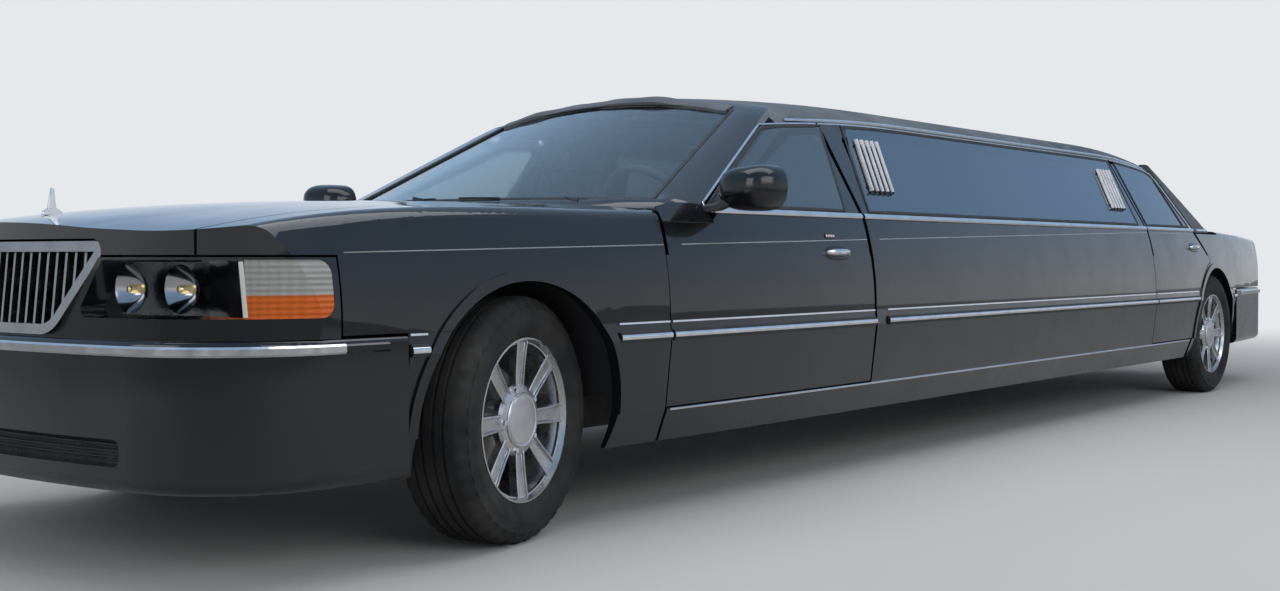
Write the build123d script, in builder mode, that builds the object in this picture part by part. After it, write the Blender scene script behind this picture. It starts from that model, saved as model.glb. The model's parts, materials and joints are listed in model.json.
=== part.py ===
import math
import os

from build123d import *

os.makedirs("parts", exist_ok=True)

# Overall size and stance. X runs forward, Y to the car's left, Z up from the ground.
donor_wheelbase = 2990
stretch = 3048
front_overhang = 1080
rear_overhang = 1401
half_width = 990
wheelbase = donor_wheelbase + stretch
front_end = (front_overhang + wheelbase + rear_overhang) / 2
rear_end = -front_end
front_axle = front_end - front_overhang
rear_axle = front_axle - wheelbase
front_seam = front_axle - 622
b_seam = front_axle - 1864
c_seam = b_seam - stretch

# Side wall profile: heights and how far each line lies inside the half width
sill_z, sill_in = 235, 65
crease_z, crease_in = 340, 25
mould_z = 560
ledge_z, ledge_in = 615, 6
flank_z, flank_in = 790, 20
belt_z, belt_in = 950, 58
rail_z, rail_in = 1350, 285
door_thick = 110
frame_thick = 52
skin = 25
frame_skin = 12
front_sweep = 45000
rear_sweep = 22500

# Gaps between panels
gap = 6
swing_gap = 11
seat_gap = 0.3

# Roof
roof_z = 1482
roof_thick = 40
roof_proud = 8
roof_corner_y, roof_corner_z = 600, 1418
front_fall_x, front_fall = b_seam - 700, 12000
rear_fall_x, rear_fall = c_seam + 230, 7000

# Windshield and rear window: centre line foot and head, bend across the car
shield_foot_x, shield_foot_z = front_axle - 580, 1000
shield_head_x, shield_head_z = front_axle - 1540, 1435
shield_bend = 3200
shield_post = 32
back_foot_x, back_foot_z = rear_axle - 262, 985
back_head_x, back_head_z = rear_axle + 390, 1410
back_bend = 2300
back_post = 45
glass_thick = 5
glass_deep = 8

# Wheels
tyre_r = 351
tyre_half = 113
rim_r = 218
lip_r = 234
rim_half = 98
front_track = 1610
rear_track = 1666
hub_r = 32
bore_end = 16
spindle_r = 26
spindle_gap = 0.08
kingpin_y = 735
kingpin_r = 21
steer_at_rest = 12
arch_r = 395
arch_liner_r = 412
arch_liner = 6

# Chassis
rail_y = 412
rail_wide = 80
rail_tall = 110
rail_base = 225
rail_lift = 455
floor_z = 372
floor_thick = 12
shaft_z = 330
shaft_r = 38

# Front and rear bodywork
hood_seam_y = 740
trunk_seam_y = 725
clip_skin = 28
hood_skin = 30
nose_setback = 28
nose_bow = 3600
nose_corner = 400
tail_bow = 4200
tail_corner = 260
bumper_top = 612
bumper_low = 240
bumper_deep = 70
lamp_low, lamp_high = 664, 806
header_top = 812
shoulder_round = 46
fender_nose = front_end - 440

sides = {"left": 1, "right": -1}


def write(piece, node):
    piece.label = node
    export_step(piece, f"parts/{node}.step")


def mirrored(piece, side):
    if sides[side] > 0:
        return piece
    return mirror(piece, about=Plane.XZ)


def plan_inset(x):
    # how far the side wall has swept in from the half width at this length
    if x > b_seam:
        return front_sweep - math.sqrt(front_sweep ** 2 - (x - b_seam) ** 2)
    if x < c_seam:
        return rear_sweep - math.sqrt(rear_sweep ** 2 - (x - c_seam) ** 2)
    return 0


def wall_y(x, z):
    # the outer surface of the side wall at this length and height
    heights = [sill_z, crease_z, mould_z, ledge_z, flank_z, belt_z, rail_z]
    insets = [sill_in, crease_in, 0, ledge_in, flank_in, belt_in, rail_in]
    for low, high, a, b in zip(heights, heights[1:], insets, insets[1:]):
        if z <= high:
            share = max(0, (z - low) / (high - low))
            return half_width - plan_inset(x) - a - (b - a) * share
    return half_width - plan_inset(x) - rail_in


def roof_drop(x):
    # how far the roof has fallen from its level middle at this length
    if x > front_fall_x:
        return front_fall - math.sqrt(front_fall ** 2 - (x - front_fall_x) ** 2)
    if x < rear_fall_x:
        return rear_fall - math.sqrt(rear_fall ** 2 - (x - rear_fall_x) ** 2)
    return 0


def across(x):
    return Plane(origin=(x, 0, 0), x_dir=(0, 1, 0), z_dir=(1, 0, 0))


def swept_wall(face, x_start, x_stop):
    # a left wall section carried straight along the stretch, or round the far axis at each end
    with BuildPart() as wall:
        if x_stop > b_seam:
            turn = math.degrees(math.asin((x_stop - b_seam) / front_sweep))
            add(face.moved(Location((b_seam, 0, 0))))
            revolve(axis=Axis((b_seam, half_width - front_sweep, 0), (0, 0, -1)), revolution_arc=turn)
        elif x_stop < c_seam:
            turn = math.degrees(math.asin((c_seam - x_stop) / rear_sweep))
            add(face.moved(Location((c_seam, 0, 0))))
            revolve(axis=Axis((c_seam, half_width - rear_sweep, 0), (0, 0, 1)), revolution_arc=turn)
        else:
            extrude(face.moved(Location((x_stop, 0, 0))), amount=x_start - x_stop, dir=(1, 0, 0))
    return wall.part


def wall_face(depth_low, depth_high, proud=0):
    # the side wall's section: outer skin line, and an inner line at the two depths
    y = half_width + proud
    with BuildSketch(across(0)) as face:
        with BuildLine():
            Polyline((y - sill_in, sill_z), (y - crease_in, crease_z), (y, mould_z), (y - ledge_in, ledge_z))
            ThreePointArc((y - ledge_in, ledge_z), (y - flank_in, flank_z), (y - belt_in, belt_z))
            Polyline(
                (y - belt_in, belt_z), (y - rail_in, rail_z), (y - rail_in - depth_high, rail_z),
                (y - belt_in - depth_high, belt_z), (y - depth_low, belt_z - 1), (y - depth_low, sill_z),
                (y - sill_in, sill_z),
            )
        make_face()
    return face.sketch.face()


def both_sides(left):
    with BuildPart() as pair:
        add(left)
        add(mirror(left, about=Plane.XZ))
    return pair.part


def side_cut(points, radius=0):
    # a prism through the car's left side with the given outline in side view
    with BuildPart() as cut:
        with BuildSketch(Plane.XZ) as outline:
            with BuildLine():
                Polyline(*points, close=True)
            make_face()
            if radius:
                fillet(outline.vertices(), radius)
        extrude(amount=-1300)
    return cut.part


def disc_cut(x, radius, inner, outer):
    # a round cut across the car at wheel height
    with BuildPart() as cut:
        with BuildSketch(Plane.XZ.offset(-inner)):
            with Locations((x, tyre_r)):
                Circle(radius)
        extrude(amount=inner - outer)
    return cut.part


def glass_face(deep):
    # a thin slanted strip lying a little under the skin of the window band
    y = half_width - deep
    with BuildSketch(across(0)) as face:
        with BuildLine():
            Polyline(
                (y - belt_in, belt_z), (y - rail_in, rail_z), (y - rail_in - glass_thick, rail_z),
                (y - belt_in - glass_thick, belt_z), close=True,
            )
        make_face()
    return face.sketch.face()


# Side-view outlines
window_low = belt_z + 32
rail_gap = 8
shield_slope = (shield_head_z - shield_foot_z) / (shield_foot_x - shield_head_x)


def shield_x(y, z):
    # where the windshield's outer face is at this height and distance from the middle
    bend = shield_bend - math.sqrt(shield_bend ** 2 - y ** 2)
    drop = bend / math.cos(math.atan(shield_slope))
    return shield_foot_x - (z + drop - shield_foot_z) / shield_slope


def rail_at(x):
    return rail_z - roof_drop(x)


# Front door: outline, window, then the same for the rear door
post_run = (shield_post + 6) / math.sin(math.atan(shield_slope))
door_sill = crease_z + gap
front_top_x = shield_x(wall_y(b_seam + 350, rail_z), rail_z - 20) - post_run
front_belt_x = shield_x(wall_y(front_seam, belt_z), belt_z) - post_run
front_door = [
    (b_seam, door_sill), (front_seam, door_sill), (front_seam, belt_z - 4), (front_belt_x, belt_z - 4),
    (front_top_x, rail_at(front_top_x) - rail_gap - 4), (b_seam - 20, rail_at(b_seam) - rail_gap),
]
frame_wide = 38
front_window = [
    (b_seam + 95, window_low), (front_belt_x - 118, window_low),
    (front_top_x - 42, rail_at(front_top_x) - rail_gap - frame_wide), (b_seam + 12, rail_at(b_seam) - rail_gap - frame_wide),
]
rear_top_x = c_seam - 620
rear_belt_x = c_seam - 815
rear_arch = 445
arch_knee = 150
knee_z = tyre_r + math.sqrt(rear_arch ** 2 - (rear_axle + arch_knee - rear_axle) ** 2)
rear_door = [
    (c_seam, door_sill), (c_seam, rail_at(c_seam) - rail_gap), (rear_top_x, rail_at(rear_top_x) - rail_gap - 8),
    (rear_belt_x, belt_z), (rear_axle + 105, 800), (rear_axle + 105, door_sill),
]
rear_window_cut = [
    (c_seam - 60, window_low), (c_seam - 55, rail_at(c_seam) - rail_gap - frame_wide),
    (rear_top_x + 50, rail_at(rear_top_x) - rail_gap - frame_wide - 10), (rear_belt_x + 85, window_low),
]


leaf_tall = 60
leaf_heights = [430, 780]
leaf_depth_low, leaf_depth_high = 92, 108


def hinge_leaves(x):
    # two leaves on a door's front edge, reaching across the gap to the pillar that carries it
    y = half_width - plan_inset(x)
    with BuildPart() as leaves:
        for z in leaf_heights:
            with BuildSketch(Plane.XY.offset(z)):
                with Locations((x - 14 + (20 - seat_gap) / 2, y - (leaf_depth_low + leaf_depth_high) / 2)):
                    Rectangle(8 + gap + 6 - seat_gap, leaf_depth_high - leaf_depth_low)
            extrude(amount=leaf_tall)
    return leaves.part


def panel(zone_start, zone_stop, outline, inset, window, hinge_x, arch_x=None, arch=0):
    # a door: a thin outer skin to the full outline, and its thick body a little smaller all round
    with BuildPart() as door:
        add(swept_wall(wall_face(skin, frame_skin), zone_start, zone_stop))
        add(side_cut(outline), mode=Mode.INTERSECT)
    with BuildPart() as body:
        add(swept_wall(wall_face(door_thick, frame_thick), zone_start, zone_stop))
        add(side_cut(inset), mode=Mode.INTERSECT)
    with BuildPart() as whole:
        add(door.part)
        add(body.part)
        add(hinge_leaves(hinge_x))
        add(side_cut(window, 22), mode=Mode.SUBTRACT)
        if arch_x is not None:
            add(disc_cut(arch_x, arch, 500, 1300), mode=Mode.SUBTRACT)
            add(disc_cut(arch_x, arch + 14, 500, half_width - plan_inset(arch_x) - skin), mode=Mode.SUBTRACT)
    return whole.part


def inset_outline(points, by):
    # the same outline drawn in by a flange width
    with BuildSketch() as flat:
        with BuildLine():
            Polyline(*points, close=True)
        make_face()
        offset(amount=-by, kind=Kind.INTERSECTION)
    corners = flat.face().outer_wire().vertices()
    ordered = flat.face().outer_wire().order_edges()
    return [(edge.position_at(0).X, edge.position_at(0).Y) for edge in ordered]


def window_glass(zone_start, zone_stop, window):
    # the pane that fills a window opening, a seat gap inside its edge
    with BuildPart() as pane:
        add(swept_wall(glass_face(glass_deep), zone_start, zone_stop))
        add(side_cut(inset_outline(window, seat_gap), 22 - seat_gap), mode=Mode.INTERSECT)
    return pane.part


front_reach = (b_seam, front_seam + 60)
rear_reach = (c_seam, rear_axle - 60)
mid_reach = (b_seam, c_seam)
left_doors = {
    "front_door": (panel(*front_reach, front_door, inset_outline(front_door, 14), front_window, front_seam),
                   window_glass(*front_reach, front_window)),
    "rear_door": (panel(*rear_reach, rear_door, inset_outline(rear_door, 14), rear_window_cut,
                        c_seam, rear_axle, rear_arch),
                  window_glass(*rear_reach, rear_window_cut)),
}
for name, (door, pane) in left_doors.items():
    for side in sides:
        write(mirrored(door, side), f"{name}_{side}")
        write(mirrored(pane, side), f"{name}_glass_{side}")


# Centre panel: the stretch between the doors, with its long window
centre_outline = [
    (c_seam + gap, crease_z - 5), (b_seam - swing_gap, crease_z - 5),
    (b_seam - swing_gap - 20, rail_at(b_seam - swing_gap) - seat_gap), (front_fall_x, rail_z - seat_gap),
    (rear_fall_x, rail_z - seat_gap), (c_seam + gap, rail_at(c_seam) - seat_gap),
]
long_window = [
    (c_seam + 110, window_low), (b_seam - 105, window_low),
    (b_seam - 150, rail_at(b_seam) - rail_gap - frame_wide), (c_seam + 95, rail_at(b_seam) - rail_gap - frame_wide),
]
with BuildPart() as centre_panel:
    add(swept_wall(wall_face(door_thick, frame_thick), *mid_reach))
    add(side_cut(centre_outline), mode=Mode.INTERSECT)
    add(side_cut(long_window, 22), mode=Mode.SUBTRACT)
long_pane = window_glass(*mid_reach, long_window)
with BuildPart() as side_glass:
    add(long_pane)
    add(mirror(long_pane, about=Plane.XZ))
write(side_glass.part, "side_glass")

# Rockers: the sills below the doors, from arch to arch
rocker_in = 180
rocker_front, rocker_rear = front_seam - gap, rear_axle + 470
with BuildSketch(across(0)) as rocker_face:
    with BuildLine():
        y = half_width
        Polyline(
            (y - sill_in, sill_z), (y - crease_in, crease_z), (y - rocker_in, crease_z),
            (y - rocker_in, sill_z), close=True,
        )
    make_face()
rocker_spans = [(b_seam, rocker_front), (b_seam, c_seam), (c_seam, rocker_rear)]
with BuildPart() as rocker:
    for start, stop in rocker_spans:
        add(swept_wall(rocker_face.sketch.face(), start, stop))
with BuildPart() as body_side:
    add(centre_panel.part)
    add(rocker.part)
write(both_sides(body_side.part), "body_sides")


def clip_section(x, shoulder, dome_y, dome_z, crown, inset=0):
    # one full-width section of the front or rear body, smaller all round by an inset
    y = half_width - plan_inset(x) - inset
    low = sill_z - (40 if inset else 0)
    top = inset
    with BuildSketch(across(x)) as section:
        with BuildLine():
            Polyline(
                (-y + sill_in, low), (y - sill_in, low), (y - crease_in, crease_z),
                (y, mould_z), (y - ledge_in, ledge_z),
            )
            ThreePointArc((y - ledge_in, ledge_z), (y - flank_in, flank_z), (y - belt_in, shoulder - top))
            Line((y - belt_in, shoulder - top), (dome_y, dome_z - top))
            ThreePointArc((dome_y, dome_z - top), (0, crown - top), (-dome_y, dome_z - top))
            Line((-dome_y, dome_z - top), (-y + belt_in, shoulder - top))
            ThreePointArc((-y + belt_in, shoulder - top), (-y + flank_in, flank_z), (-y + ledge_in, ledge_z))
            Polyline((-y + ledge_in, ledge_z), (-y, mould_z), (-y + crease_in, crease_z), (-y + sill_in, low))
        make_face()
        fillet([v for v in section.vertices() if abs(abs(v.X) - (y - belt_in)) < 0.01], shoulder_round)
    return section.sketch.face()


def clip(rows, inset=0):
    with BuildPart() as body:
        loft(sections=[clip_section(*row, inset) for row in rows])
    return body.part


# Section tables: length, shoulder height, dome edge from the middle and its height, crown height
nose_rows = [
    (front_axle - 830, 968, 610, 990, 1006),
    (front_axle, 952, 540, 972, 990),
    (front_axle + 660, 918, 450, 938, 952),
    (front_end + 40, 828, 385, 868, 892),
]
tail_rows = [
    (rear_axle + 560, 968, 500, 996, 1006),
    (rear_axle, 966, 500, 996, 1008),
    (rear_axle - 720, 948, 480, 984, 998),
    (rear_end - 20, 915, 460, 952, 968),
]


def plan_prism(way, setback, bow, corner, low, high, reach, shrink=0):
    # the car's outline seen from above at the nose (way 1) or tail (way -1), as an upright prism
    tip = front_end - setback - shrink
    edge_y = half_width
    for _ in range(6):
        edge_x = tip - bow + math.sqrt(bow ** 2 - edge_y ** 2)
        edge_y = half_width - plan_inset(way * edge_x) + 2 - shrink
    back_x = tip - reach
    back_y = half_width - plan_inset(way * back_x) + 2 - shrink
    with BuildPart() as prism:
        with BuildSketch(Plane.XY.offset(low)) as outline:
            with BuildLine():
                Polyline((way * edge_x, -edge_y), (way * back_x, -back_y), (way * back_x, back_y), (way * edge_x, edge_y))
                ThreePointArc((way * edge_x, edge_y), (way * tip, 0), (way * edge_x, -edge_y))
            make_face()
            fillet([v for v in outline.vertices() if abs(v.X - way * edge_x) < 0.01], corner)
        extrude(amount=high - low)
    return prism.part


def span_box(x_low, x_high, y_low, y_high, z_low, z_high):
    with BuildPart() as block:
        with BuildSketch(Plane.XY.offset(z_low)):
            with Locations(((x_low + x_high) / 2, (y_low + y_high) / 2)):
                Rectangle(x_high - x_low, y_high - y_low)
        extrude(amount=z_high - z_low)
    return block.part


def front_cut(points, x_low, x_high, radius=0):
    # a prism along the car with the given outline seen from the front
    with BuildPart() as cut:
        with BuildSketch(across(x_low)) as outline:
            with BuildLine():
                Polyline(*points, close=True)
            make_face()
            if radius:
                fillet(outline.vertices(), radius)
        extrude(amount=x_high - x_low)
    return cut.part


def end_room(way, setback, bow, corner, shrink=0):
    # everything behind the rounded end of the nose or tail
    reach, length = 600, 2400
    back_x = front_end - setback - shrink - reach
    ends = sorted((way * back_x, way * (back_x - length)))
    with BuildPart() as room:
        add(plan_prism(way, setback, bow, corner, 100, 1300, reach, shrink))
        add(span_box(*ends, -1300, 1300, 100, 1300))
    return room.part


def clip_shell(rows, way, setback, bow, corner, thick):
    # the hollow nose or tail: side walls, top and end wall, open below
    with BuildPart() as shell:
        add(clip(rows))
        add(end_room(way, setback, bow, corner), mode=Mode.INTERSECT)
    with BuildPart() as hollow:
        add(clip(rows, thick))
        add(end_room(way, setback, bow, corner, thick), mode=Mode.INTERSECT)
    with BuildPart() as result:
        add(shell.part)
        add(hollow.part, mode=Mode.SUBTRACT)
    return result.part


nose_shell = clip_shell(nose_rows, 1, nose_setback, nose_bow, nose_corner, clip_skin)
nose_deep = clip_shell(nose_rows, 1, nose_setback, nose_bow, nose_corner, 85)
tail_shell = clip_shell(tail_rows, -1, nose_setback, tail_bow, tail_corner, clip_skin)

# Hood rear edge: an arc seen from above
hood_rear_mid, hood_rear_side = front_axle - 490, front_axle - 665
foot_mid, foot_side = shield_foot_x + 12, front_axle - 689


def arc_ahead(mid, side, half, low, high):
    # everything ahead of an arc seen from above, between two heights
    with BuildPart() as ahead:
        with BuildSketch(Plane.XY.offset(low)):
            with BuildLine():
                ThreePointArc((side, -half), (mid, 0), (side, half))
                Polyline((side, half), (front_end + 100, half), (front_end + 100, -half), (side, -half))
            make_face()
        extrude(amount=high - low)
    return ahead.part


def hood_arc(shift, low, high):
    return arc_ahead(hood_rear_mid + shift, hood_rear_side + shift, hood_seam_y, low, high)


# Grille outline seen from the front
grille_top_y, grille_low_y = 492, 292
grille_top, grille_low = 852, 618


def grille_cut(grow, x_low, x_high):
    with BuildPart() as cut:
        with BuildSketch(across(x_low)) as outline:
            with BuildLine():
                Polyline(
                    (-grille_low_y, grille_low), (grille_low_y, grille_low),
                    (grille_top_y, grille_top), (-grille_top_y, grille_top), close=True,
                )
            make_face()
            fillet([v for v in outline.vertices() if v.Y < grille_low + 1], 100)
            fillet([v for v in outline.vertices() if v.Y > grille_top - 1], 26)
            if grow:
                offset(amount=grow)
        extrude(amount=x_high - x_low)
    return cut.part


lid_leaf_low, lid_leaf_high = 560, 620
lid_leaves = both_sides(span_box(rear_end, front_end, lid_leaf_low, lid_leaf_high, 700, 1200))
with BuildPart() as hood:
    add(hood_arc(seat_gap - gap, header_top + gap, 1200))
    add(lid_leaves, mode=Mode.INTERSECT)
    add(hood_arc(0, header_top + gap, 1200))
    add(nose_shell, mode=Mode.INTERSECT)
    add(grille_cut(gap, front_end - 300, front_end + 50), mode=Mode.SUBTRACT)
write(hood.part, "hood")

# Front fenders, with a lip round the wheel arch
lip_wide, lip_proud = 30, 7


def arch_lip(x, rows):
    # a raised band round the wheel opening, down to the sill
    with BuildPart() as band:
        add(disc_cut(x, arch_r + lip_wide, 700, 1300))
        add(clip(rows, -lip_proud), mode=Mode.INTERSECT)
        add(clip(rows, clip_skin), mode=Mode.SUBTRACT)
        add(span_box(x - 600, x + 600, 0, 1200, crease_z, 1200), mode=Mode.INTERSECT)
    return band.part


bumper_end = front_axle + 441
fender_outline = [
    (front_seam + gap, sill_z - 60), (front_seam + gap, 1200), (front_end, 1200), (front_end, header_top + gap),
    (fender_nose, header_top + gap), (fender_nose, bumper_top + gap), (bumper_end - gap, bumper_top + gap),
    (bumper_end - gap, sill_z - 60),
]
with BuildPart() as fender:
    add(nose_shell)
    add(side_cut(fender_outline), mode=Mode.INTERSECT)
    add(span_box(0, front_end, hood_seam_y + gap, 1200, 100, 1200), mode=Mode.INTERSECT)
    add(arch_lip(front_axle, nose_rows))
    add(disc_cut(front_axle, arch_r, 300, 1300), mode=Mode.SUBTRACT)
write(both_sides(fender.part), "front_fenders")

# Headlamps and corner lamps, and the header panel that carries them with the grille
lamp_inner_top, lamp_inner_low = 470, 372
lamp_rear = front_end - 415
lamp_split = front_end - 212
lamp_outline = [
    (lamp_inner_low, lamp_low), (1200, lamp_low), (1200, lamp_high), (lamp_inner_top, lamp_high),
]
lamp_round = 20
lamp_end_round = 36


def lamp_room(points, x_rear, low, high, radius_shift):
    # the lamp's room: its outline from the front, with its rear end rounded in side view
    with BuildPart() as room:
        add(front_cut(points, x_rear - 10, front_end + 10, lamp_round + radius_shift))
        add(side_cut([(x_rear, low), (front_end + 100, low), (front_end + 100, high), (x_rear, high)],
                     lamp_end_round + radius_shift), mode=Mode.INTERSECT)
    return room.part


lamp_zone = lamp_room(lamp_outline, lamp_rear, lamp_low, lamp_high, 0)
header_low = bumper_top + seat_gap
with BuildPart() as header:
    add(nose_deep)
    add(span_box(fender_nose + gap, front_end, -1200, 1200, header_low, header_top), mode=Mode.INTERSECT)
    add(lamp_zone, mode=Mode.SUBTRACT)
    add(mirror(lamp_zone, about=Plane.XZ), mode=Mode.SUBTRACT)
    add(grille_cut(seat_gap, front_end - 400, front_end + 50), mode=Mode.SUBTRACT)
write(header.part, "header_panel")

lamp_body = [
    (lamp_inner_low + seat_gap, lamp_low + seat_gap), (1200, lamp_low + seat_gap),
    (1200, lamp_high - seat_gap), (lamp_inner_top + seat_gap, lamp_high - seat_gap),
]
with BuildPart() as lamp:
    add(nose_deep)
    add(lamp_room(lamp_body, lamp_rear + seat_gap, lamp_low + seat_gap, lamp_high - seat_gap, -seat_gap),
        mode=Mode.INTERSECT)
with BuildPart() as headlamp:
    add(lamp.part)
    add(span_box(lamp_split + 1, front_end, 0, 1200, 600, 900), mode=Mode.INTERSECT)
with BuildPart() as corner_lamp:
    add(lamp.part)
    add(span_box(0, lamp_split - 1, 0, 1200, 600, 900), mode=Mode.INTERSECT)
write(both_sides(headlamp.part), "headlamps")
write(both_sides(corner_lamp.part), "corner_lamps")

# Grille: a shield-shaped surround, a centre post and upright bars between its top and bottom
bar_count, bar_pitch, bar_wide = 11, 38, 9
grille_deep = 60
grille_lean = 6


def leaning_band(setback, deep):
    # a curved band across the nose, leaning back about its lower front edge
    with BuildPart() as band:
        add(plan_prism(1, setback, nose_bow, nose_corner, 500, 960, 700))
        add(plan_prism(1, setback, nose_bow, nose_corner, 450, 1000, 900, deep), mode=Mode.SUBTRACT)
    foot = Location((front_end - setback, 0, grille_low))
    return foot * Location((0, 0, 0), (0, -grille_lean, 0)) * foot.inverse() * band.part


with BuildPart() as surround:
    add(leaning_band(12, grille_deep))
    add(grille_cut(0, front_end - 400, front_end), mode=Mode.INTERSECT)
    add(grille_cut(-26, front_end - 400, front_end), mode=Mode.SUBTRACT)
with BuildPart() as bars:
    add(leaning_band(30, 30))
    add(grille_cut(-20, front_end - 400, front_end), mode=Mode.INTERSECT)
    with BuildSketch(Plane.XY.offset(500)):
        with GridLocations(0, bar_pitch, 1, 2 * bar_count + 1):
            with Locations((front_end - 150, 0)):
                Rectangle(400, bar_wide)
    extrude(amount=500, mode=Mode.INTERSECT)
with BuildPart() as grille:
    add(surround.part)
    add(bars.part)
write(grille.part, "grille")


bumper_top_round, bumper_low_round = 14, 40


def bumper(way, setback, bow, corner, low, high, end_x):
    reach = front_end - setback - abs(end_x)
    with BuildPart() as band:
        add(plan_prism(way, setback, bow, corner, low, high, reach))
        fillet(band.faces().sort_by(Axis.Z)[0].edges().filter_by(lambda edge: abs(edge.center().X - end_x) > 1), bumper_low_round)
        fillet(band.faces().sort_by(Axis.Z)[-1].edges().filter_by(lambda edge: abs(edge.center().X - end_x) > 1), bumper_top_round)
        add(plan_prism(way, setback, bow, corner, low - 50, high + 50, reach + 300, bumper_deep), mode=Mode.SUBTRACT)
    return band.part


intake_low, intake_high, intake_y = 305, 372, 560
with BuildPart() as front_bumper:
    add(bumper(1, 0, nose_bow, nose_corner, bumper_low, bumper_top, bumper_end))
    with BuildSketch(across(front_end - 400)):
        with Locations((0, (intake_low + intake_high) / 2)):
            RectangleRounded(2 * intake_y, intake_high - intake_low, 20)
    extrude(amount=500, mode=Mode.SUBTRACT)
write(front_bumper.part, "front_bumper")

rear_bumper_end = rear_axle - 460
with BuildPart() as rear_bumper:
    add(bumper(-1, 0, tail_bow, tail_corner, bumper_low + 30, bumper_top, rear_bumper_end))
write(rear_bumper.part, "rear_bumper")

# Rear quarters, tail panel, tail lamps, deck and trunk lid
lid_low = 690
trunk_front = rear_axle - 330
tail_front = rear_end + 330
deck_front = rear_axle - 190
quarter_edge = rear_axle + 105 - gap
quarter_outline = [
    (quarter_edge, 760), (quarter_edge, 800), (rear_belt_x - swing_gap, belt_z - 4), (deck_front, belt_z - 4),
    (deck_front, 1200), (rear_end, 1200), (rear_end, bumper_top + gap), (rear_bumper_end + gap, bumper_top + gap),
    (rear_bumper_end + gap, sill_z - 60), (rear_axle, sill_z - 60), (rear_axle, 760),
]
with BuildPart() as quarter:
    add(side_cut(quarter_outline))
    add(disc_cut(rear_axle, rear_arch - gap, 300, 1300))
    add(tail_shell, mode=Mode.INTERSECT)
    add(span_box(rear_end, 0, trunk_seam_y + gap, 1200, 100, 1200), mode=Mode.INTERSECT)
    add(arch_lip(rear_axle, tail_rows))
    add(disc_cut(rear_axle, arch_r, 300, 1300), mode=Mode.SUBTRACT)
tail_lamp_y, tail_lamp_low, tail_lamp_high = 560, lid_low, 905
tail_lamp_run = 190


def tail_lamp_outline(grow):
    inner, low, high = tail_lamp_y - grow, tail_lamp_low - grow, tail_lamp_high + grow
    return [(inner, low), (1200, low), (1200, high), (inner, high)]


tail_zone = front_cut(tail_lamp_outline(0), rear_end - 10, rear_end + tail_lamp_run)
with BuildPart() as quarter_cut:
    add(quarter.part)
    add(tail_zone, mode=Mode.SUBTRACT)
with BuildPart() as tail_lamp:
    add(clip_shell(tail_rows, -1, nose_setback, tail_bow, tail_corner, 60))
    add(front_cut(tail_lamp_outline(-seat_gap), rear_end - 10, rear_end + tail_lamp_run - seat_gap), mode=Mode.INTERSECT)
write(both_sides(tail_lamp.part), "tail_lamps")
with BuildPart() as trunk_lid:
    add(span_box(trunk_front - 5, trunk_front + gap - seat_gap, -1200, 1200, lid_low, 1200))
    add(lid_leaves, mode=Mode.INTERSECT)
    add(span_box(rear_end, trunk_front, -trunk_seam_y, trunk_seam_y, lid_low + gap, 1200))
    add(tail_shell, mode=Mode.INTERSECT)
    add(both_sides(front_cut(tail_lamp_outline(gap), rear_end - 10, rear_end + tail_lamp_run + gap)), mode=Mode.SUBTRACT)
write(trunk_lid.part, "trunk_lid")
with BuildPart() as tail_panel:
    add(tail_shell)
    add(span_box(rear_end, tail_front, -trunk_seam_y - gap, trunk_seam_y + gap, bumper_top + seat_gap, lid_low),
        mode=Mode.INTERSECT)


# Roof: one arched section carried along the car, falling towards the nose and the tail
def roof_face(drop_in, filled=False):
    side_y = half_width - rail_in + roof_proud - drop_in
    with BuildSketch(across(0)) as face:
        with BuildLine():
            crown = ThreePointArc(
                (-roof_corner_y, roof_corner_z - drop_in), (0, roof_z - drop_in), (roof_corner_y, roof_corner_z - drop_in),
            )
            TangentArc(crown @ 1, (side_y, rail_z), tangent=crown % 1)
            TangentArc(crown @ 0, (-side_y, rail_z), tangent=(crown % 0) * -1)
            if filled:
                Polyline((side_y, rail_z), (half_width + 200, belt_z), (half_width + 200, belt_z - 200),
                         (-half_width - 200, belt_z - 200), (-half_width - 200, belt_z), (-side_y, rail_z))
            else:
                Line((side_y, rail_z), (-side_y, rail_z))
        make_face()
    return face.sketch.face()


def roof_sweep(face, x_front, x_rear):
    mid = front_fall_x - rear_fall_x
    front_turn = math.degrees(math.asin((x_front - front_fall_x) / front_fall))
    rear_turn = math.degrees(math.asin((rear_fall_x - x_rear) / rear_fall))
    with BuildPart() as body:
        extrude(face.moved(Location((rear_fall_x, 0, 0))), amount=mid, dir=(1, 0, 0))
    with BuildPart() as front:
        add(face.moved(Location((front_fall_x, 0, 0))))
        revolve(axis=Axis((front_fall_x, 0, roof_z - front_fall), (0, 1, 0)), revolution_arc=front_turn)
    with BuildPart() as rear:
        add(face.moved(Location((rear_fall_x, 0, 0))))
        revolve(axis=Axis((rear_fall_x, 0, roof_z - rear_fall), (0, -1, 0)), revolution_arc=rear_turn)
    with BuildPart() as whole:
        add(body.part)
        add(front.part)
        add(rear.part)
    return whole.part


def slope_plane(foot_x, foot_z, head_x, head_z):
    # lies square across the slope of a screen, with local x across the car and local y outward
    run = Vector(head_x - foot_x, 0, head_z - foot_z).normalized()
    return Plane(origin=(foot_x, 0, foot_z), x_dir=(0, 1, 0), z_dir=run)


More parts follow.
